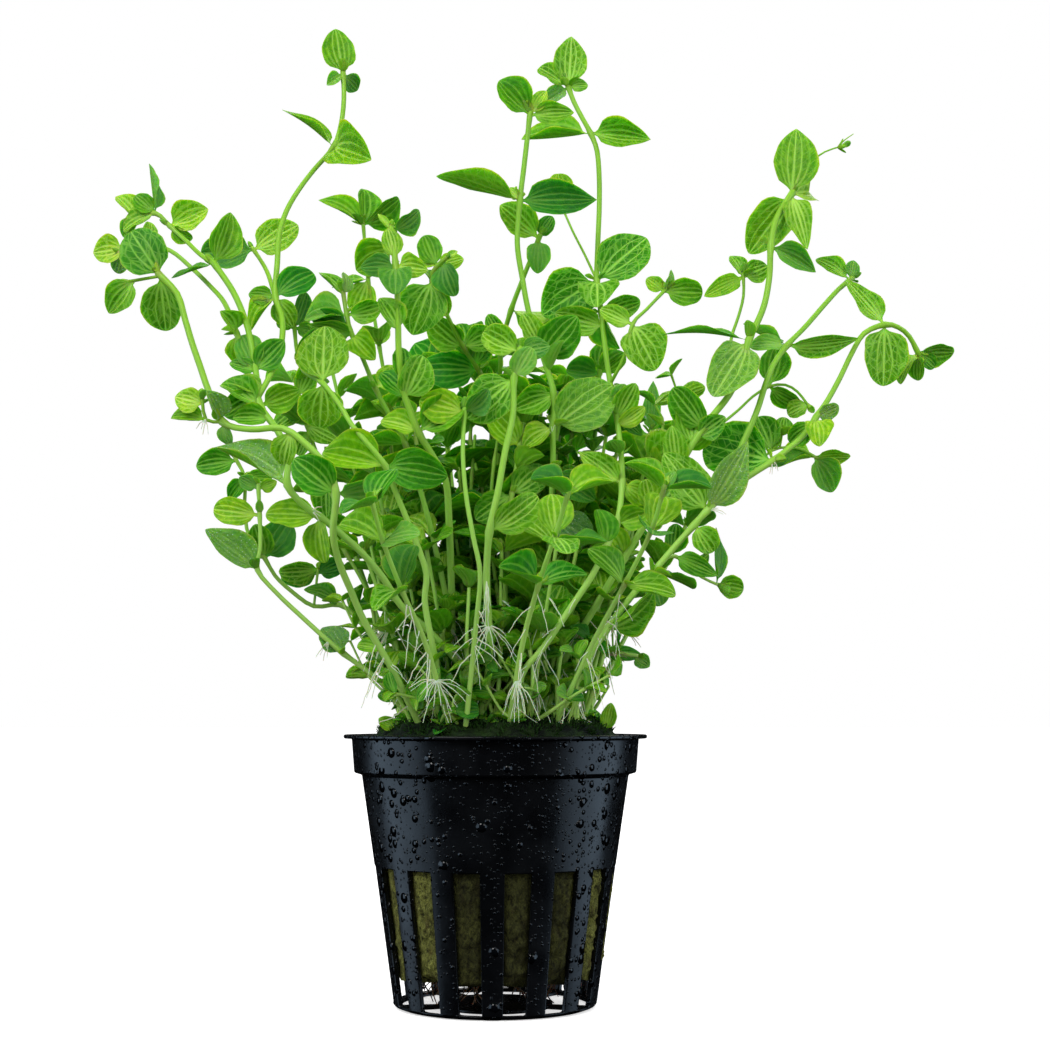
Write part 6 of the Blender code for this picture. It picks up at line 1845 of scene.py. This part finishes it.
def leaf_veins(g, share, off, half, run, flat, pale):
    """Where a blade's veins, its net and its veinlets are, and how far each place is from a vein."""
    wander = g.times(g.minus(g.noise(flat, 0.5, 2.0), 0.5), 0.22)
    fan = g.plus(g.times(share, 1 - VEIN_FAN), VEIN_FAN)
    fanned = g.times(g.over(off, fan), VEINS_PER_SIDE)
    step = g.maths("PINGPONG", g.plus(fanned, wander), 0.5)
    distance = g.times(g.times(g.over(step, VEINS_PER_SIDE), fan), half)
    width = g.times(g.ramp(share, 0.05, 1.0, 0.37, 0.19), g.ramp(off, 0.1, 0.25, 1.25, 0.9))
    vein = g.ramp(g.minus(1.0, g.over(distance, width), clamp=True), 0.0, 0.75)
    vein = g.times(vein, g.ramp(off, 0.1, 0.86, 1.0, 0.25))
    net_cells = g.cells(g.scaled(flat, (0.6, 1.0, 1.0)), 0.62, feature="DISTANCE_TO_EDGE")
    net = g.ramp(net_cells["Distance"], 0.0, 0.09, 1.0, 0.0)
    net = g.times(net, g.ramp(pale, 0.5, 0.95, 0.0, 0.52))
    slant = g.minus(run, g.times(g.times(off, half), 0.85))
    slant = g.plus(g.over(slant, VEINLET_STEP), g.times(wander, 3.0))
    veinlet = g.ramp(g.maths("PINGPONG", slant, 0.5), 0.0, 0.11, 1.0, 0.0)
    veinlet = g.times(veinlet, g.ramp(pale, 0.2, 0.8, 0.05, 0.5))
    return g.most(g.most(vein, net), veinlet), step


def leaf_material():
    """Green blades with pale veins that run from base to tip, and a fine net between them."""
    g = material("lindernia leaf")
    _, share, side, half = g.value("blade")
    flat, run, _, seed = g.value("flat")
    _, tone, pale, wet = g.value("look")
    off = g.size(side)
    lines, step = leaf_veins(g, share, off, half, run, flat, pale)

    dark = g.mix(tone, (0.005, 0.17, 0.001), (0.18, 0.46, 0.001))
    light = g.mix(tone, (0.032, 0.32, 0.002), (0.45, 0.72, 0.010))
    blade = g.mix(g.ramp(g.noise(flat, 0.9, 4.0), 0.3, 0.7), dark, light)
    blade = g.mix(g.ramp(step, 0.12, 0.5, 0.0, 0.55), blade, dark)
    vein_colour = g.mix(tone, (0.28, 0.64, 0.08), (0.62, 0.86, 0.15))
    colour = g.mix(g.times(lines, g.ramp(pale, 0.0, 1.0, 0.3, 1.0)), blade, vein_colour)
    blue = g.ramp(g.maths("FRACT", seed), 0.1, 1.0, 0.0, 0.6)
    colour = g.mix(blue, colour, g.mix(tone, (0.010, 0.13, 0.022), (0.11, 0.44, 0.10)))
    colour = g.mix(g.ramp(off, 0.93, 1.0, 0.0, 0.12), colour, vein_colour)
    under = g.ramp(wet, -0.6, -0.3, 1.0, 0.0)
    colour = g.mix(g.times(under, 0.45), colour, (0.17, 0.46, 0.015))

    soaked = g.ramp(wet, 0.4, 0.8)
    # Painted sheen and glints of wetness: wet leaves get grey patches and small pale specks.
    painted_wet_sheen = g.ramp(g.noise(flat, 2.6, 5.0, 0.7), 0.42, 0.62, 0.45, 1.0)
    colour = g.mix(g.times(g.times(soaked, painted_wet_sheen), 0.55), colour, (0.21, 0.36, 0.16))
    painted_water_glints = g.ramp(g.cells(flat, 1.9)["Distance"], 0.10, 0.24, 0.8, 0.0)
    colour = g.mix(g.times(soaked, painted_water_glints), colour, (0.52, 0.68, 0.50))
    drop = g.times(g.ramp(g.cells(flat, 2.3)["Distance"], 0.0, 0.42, 1.0, 0.0), soaked)
    grain = g.noise(flat, 3.2, 3.0)
    normal = g.bump(g.minus(g.times(grain, 0.5), g.times(lines, 0.7)), 0.00016, 0.8)
    normal = g.bump(drop, 0.00022, 0.7, normal)
    roughness = g.ramp(g.plus(grain, g.times(soaked, -0.5)), 0.0, 0.8, 0.28, 0.52)
    return g.finished(
        colour, roughness, normal,
        Specular_IOR_Level=0.14, Subsurface_Weight=0.6, Subsurface_Radius=(0.5, 1.0, 0.05),
        Subsurface_Scale=0.0007,
    )


def stem_material():
    """Pale yellow-green stems with fine lines along them, browner where leaves join."""
    g = material("lindernia stem")
    _, along, turn, _ = g.value("blade")
    flat = g.value("flat")[0]
    _, tone, brown, height = g.value("look")
    lines = g.add("ShaderNodeCombineXYZ", {"X": g.times(turn, 26.0), "Y": g.times(along, 0.22)})
    streak = g.noise(lines.outputs[0], 1.0, 3.0)
    pale = g.mix(tone, (0.19, 0.52, 0.02), (0.40, 0.73, 0.05))
    colour = g.mix(g.ramp(streak, 0.35, 0.65), pale, g.mix(0.5, pale, (0.16, 0.40, 0.03)))
    colour = g.mix(g.ramp(height, 0.52, 1.2, 0.72, 0.0), colour, (0.56, 0.90, 0.23))
    blush = g.times(brown, g.ramp(g.noise(flat, 0.35, 2.0), 0.35, 0.6, 0.1, 0.9))
    colour = g.mix(blush, colour, (0.26, 0.17, 0.07))
    return g.finished(
        colour, g.ramp(streak, 0.2, 0.8, 0.3, 0.5), g.bump(streak, 0.00008, 0.6),
        Specular_IOR_Level=0.3, Subsurface_Weight=0.4, Subsurface_Radius=(0.6, 0.9, 0.2),
        Subsurface_Scale=0.0008,
    )


def root_material():
    """White roots. Older ones are brown, and those in the pot are black, which is painted shade below the
    wool.
    """
    g = material("fine root")
    tone = g.value("look")[1]
    patch = g.ramp(g.noise(g.value("flat")[0], 0.8, 3.0), 0.3, 0.7)
    pale = g.mix(patch, (0.76, 0.88, 0.54), (0.94, 0.98, 0.82))
    colour = g.mix(tone, pale, (0.24, 0.14, 0.06))
    # Roots in the pot are real roots, but their near-black colour is painted shade below the wool.
    colour = g.mix(g.ramp(tone, 1.0, 2.0), colour, (0.006, 0.005, 0.003))
    return g.finished(colour, 0.55, g.bump(patch, 0.00004), Subsurface_Weight=0.3, Subsurface_Scale=0.0005)


# Three sizes of bead: cells per metre, the largest radius in cells, the bare share at the sides and in front
BEADS = ((450, 0.47, 0.2, 0.93), (820, 0.45, 0.1, 0.8), (1700, 0.42, 0.4, 0.35))


def pot_material():
    """Black moulded plastic, wet: beads stand on it, large and small."""
    g = material("black net pot")
    where = g.place()
    middle = g.ramp(g.size(g.parts(where)["X"]), 0.008, 0.017, 1.0, 0.0)
    drops = None
    for scale, size, sides, front in BEADS:
        cells = g.cells(where, scale, 0.95)
        pick = g.add("ShaderNodeSeparateColor", {"Color": cells["Color"]})
        wanted = g.plus(sides, g.times(middle, front - sides))
        radius = g.ramp(pick.outputs["Red"], wanted, 1.0, 0.0, size)
        near = g.over(cells["Distance"], g.most(radius, 0.01))
        dome = g.maths("SQRT", g.minus(1.0, g.times(near, near), clamp=True))
        bead = g.times(g.times(dome, radius), 1.0 / scale)
        drops = g.most(drops, bead) if drops else bead
    normal = g.bump(g.noise(where, 2600, 3.0), 0.00003, 0.35)
    normal = g.bump(drops, 1.0, 0.9, normal)
    wet = g.ramp(drops, 0.0, 0.0002)
    dull = g.noise(where, 130, 4.0)
    roughness = g.mix(wet, g.mix(g.ramp(dull, 0.3, 0.7), (0.25,) * 3, (0.35,) * 3), (0.12,) * 3)
    colour = g.mix(g.ramp(dull, 0.35, 0.7), (0.0008, 0.0012, 0.002), (0.0022, 0.003, 0.0045))
    return g.finished(colour, roughness, normal, Specular_IOR_Level=0.45)


def wool_material():
    """Olive fibres, brown in places, with painted shade in their hollows, and painted shade that darkens
    them where the leaves stand over them.
    """
    g = material("olive rockwool")
    flat = g.value("flat")[0]
    lifted = g.scaled(flat, (1.0, 1.0, 0.45))
    twist = g.noise(lifted, 0.6, 3.0)
    threads = g.noise(lifted, 3.0, 6.0, 0.75, 1.6)
    fine = g.noise(flat, 9.0, 4.0)
    colour = g.mix(g.ramp(threads, 0.36, 0.62), (0.035, 0.038, 0.003), (0.36, 0.39, 0.085))
    colour = g.mix(g.ramp(twist, 0.5, 0.72, 0.0, 0.7), colour, (0.10, 0.070, 0.015))
    colour = g.mix(g.ramp(fine, 0.52, 0.72, 0.0, 0.6), colour, (0.62, 0.64, 0.25))
    # Painted shade: where the clump relief is low, in its hollows, the fibres are mixed towards near black.
    clump = g.noise(g.scaled(flat, (1.0, 1.0, 0.7)), 1.0, 5.0, 0.7)
    colour = g.mix(g.ramp(clump, 0.36, 0.5, 0.85, 0.0), colour, (0.022, 0.020, 0.003))
    # Painted light and shade: the wool is darkened near the middle, where the leaves stand over it, and left
    # lit at the sides, in soft patches.
    side = g.size(g.plus(g.parts(g.place())["X"], -0.0025))
    light = g.ramp(side, 0.0085, 0.0165, 0.22, 1.15)
    light = g.times(light, g.ramp(g.noise(flat, 0.22, 2.0), 0.3, 0.7, 0.55, 1.25))
    colour = g.mix(light, (0.008, 0.008, 0.002), colour)
    normal = g.bump(clump, 0.0016, 0.8)
    normal = g.bump(threads, 0.0008, 0.9, normal)
    normal = g.bump(fine, 0.0002, 0.7, normal)
    return g.finished(colour, 0.9, normal, Specular_IOR_Level=0.2)


def moss_material():
    g = material("dark moss")
    flat = g.value("flat")[0]
    tone = g.value("look")[1]
    patch = g.ramp(g.noise(flat, 0.35, 3.0), 0.35, 0.7)
    colour = g.mix(tone, (0.001, 0.004, 0.001), (0.020, 0.080, 0.006))
    colour = g.mix(g.times(patch, 0.3), colour, (0.045, 0.120, 0.010))
    return g.finished(colour, 0.75, g.bump(g.noise(flat, 4.0), 0.0002), Specular_IOR_Level=0.25)


# The studio, in metres: lights with their place, size and power, and two blue strips for the pot's sides
WHITE = (1, 1, 1, 1)
SOFT_WHITE = (0.8, 0.8, 0.8, 1)
FLOOR_COLOUR = (0.93, 0.93, 0.93)
FLOOR_REACH = 6.0
PLANT_MIDDLE = (0, 0, 0.09)
LIGHTS = (
    ("key", (-0.45, -0.65, 0.75), (0.5, 0.5), 5.0),
    ("fill", (0.6, -0.5, 0.45), (0.5, 0.6), 1.3),
    ("back", (0.1, 0.7, 0.7), (0.8, 0.5), 2.5),
)
STRIP_BLUE = (0.58, 0.78, 1.0)
STRIP_PLACE = (0.5, -0.02, 0.08)
STRIP_TARGET = (0, -0.02, 0.03)
STRIP_SIZE = (0.5, 0.5)
STRIP_POWER = 1.3
GLOW_BELOW = 0.24
GLOW_ABOVE = 1.22
MIRRORED_GLOW = 0.004
CAMERA_LENS = 66.29
CAMERA_SENSOR = 36.0
CAMERA_UP = 5.52
CAMERA_RIGHT = 0.87


def floor_material():
    g = material("pale floor")
    tint = g.mix(g.noise(g.place(), 3.0, 2.0), FLOOR_COLOUR, tuple(0.985 * c for c in FLOOR_COLOUR))
    return g.finished(tint, 0.9, Specular_IOR_Level=0.1, Emission_Color=WHITE, Emission_Strength=0.6)


def placed(name, data, location, rotation):
    made = bpy.data.objects.new(name, data)
    made.location = location
    made.rotation_euler = rotation
    bpy.context.scene.collection.objects.link(made)
    return made


def area_light(name, place, target, size, power, colour=WHITE[:3]):
    data = bpy.data.lights.new(name, "AREA")
    data.shape = "RECTANGLE"
    data.size, data.size_y = size
    data.energy = power
    data.color = colour
    facing = (Vector(target) - Vector(place)).to_track_quat("-Z", "Y").to_euler()
    return placed(name, data, place, facing)


def lay_floor():
    """A pale floor that neither lights the part nor shows in it."""
    data = bpy.data.meshes.new("floor")
    corners = [(x * FLOOR_REACH, y * FLOOR_REACH, 0) for x, y in ((-1, -1), (1, -1), (1, 1), (-1, 1))]
    data.from_pydata(corners, [], [(0, 1, 2, 3)])
    data.materials.append(floor_material())
    floor = placed("floor", data, (0, 0, 0), (0, 0, 0))
    floor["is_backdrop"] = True
    floor.visible_glossy = False
    floor.visible_diffuse = False


def surround():
    """A world that is white to the eye, lights the part from above and is hardly mirrored in it."""
    world = bpy.data.worlds.new("studio")
    bpy.context.scene.world = world
    g = Graph(world)
    g.tree.nodes.clear()
    upward = g.parts(g.add("ShaderNodeTexCoord").outputs["Generated"])["Z"]
    ends = {"Value": upward, "From Min": -1.0, "To Min": GLOW_BELOW, "To Max": GLOW_ABOVE}
    glow = g.add("ShaderNodeMapRange", ends).outputs["Result"]
    seen, soft, mirrored = (
        g.add("ShaderNodeBackground", {"Color": colour, "Strength": strength}).outputs[0]
        for colour, strength in ((WHITE, 1.0), (SOFT_WHITE, glow), (WHITE, MIRRORED_GLOW))
    )
    rays = g.add("ShaderNodeLightPath").outputs
    unseen = g.add("ShaderNodeMixShader", {"Fac": rays["Is Glossy Ray"], 1: soft, 2: mirrored})
    either = g.add("ShaderNodeMixShader", {"Fac": rays["Is Camera Ray"], 1: unseen.outputs[0], 2: seen})
    g.add("ShaderNodeOutputWorld", {"Surface": either.outputs[0]})


def studio():
    """A pale floor, a white surround, soft lights, and the camera at the photograph's angle."""
    lay_floor()
    surround()
    for name, place, size, power in LIGHTS:
        area_light(name, place, PLANT_MIDDLE, size, power)
    away, *level = STRIP_PLACE
    for name, side in (("left strip", -1), ("right strip", 1)):
        place = (away * side, *level)
        strip = area_light(name, place, STRIP_TARGET, STRIP_SIZE, STRIP_POWER, STRIP_BLUE)
        strip.visible_diffuse = False
    lens = bpy.data.cameras.new("camera")
    lens.sensor_width = CAMERA_SENSOR
    lens.lens = CAMERA_LENS
    lens.clip_start = 0.01
    turned = (math.radians(90 + CAMERA_UP), 0, -math.radians(CAMERA_RIGHT))
    scene = bpy.context.scene
    scene.camera = placed("camera", lens, (0, -VIEW_DISTANCE * MM, VIEW_HEIGHT * MM), turned)
    scene.view_settings.view_transform = "Standard"


studio()
grow_pot(pot_material())
grow_wool(wool_material())
grow_moss(moss_material())
greens = [leaf_material(), stem_material()]
stem_points = grow_shoots(greens)
grow_fill(greens)
grow_low(greens)
grow_details(greens, stem_points)
roots = root_material()
grow_roots(roots, stem_points)
grow_pot_roots(roots)

boxes = [[list(corner) for corner in box] for box in (cad_box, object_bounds())]
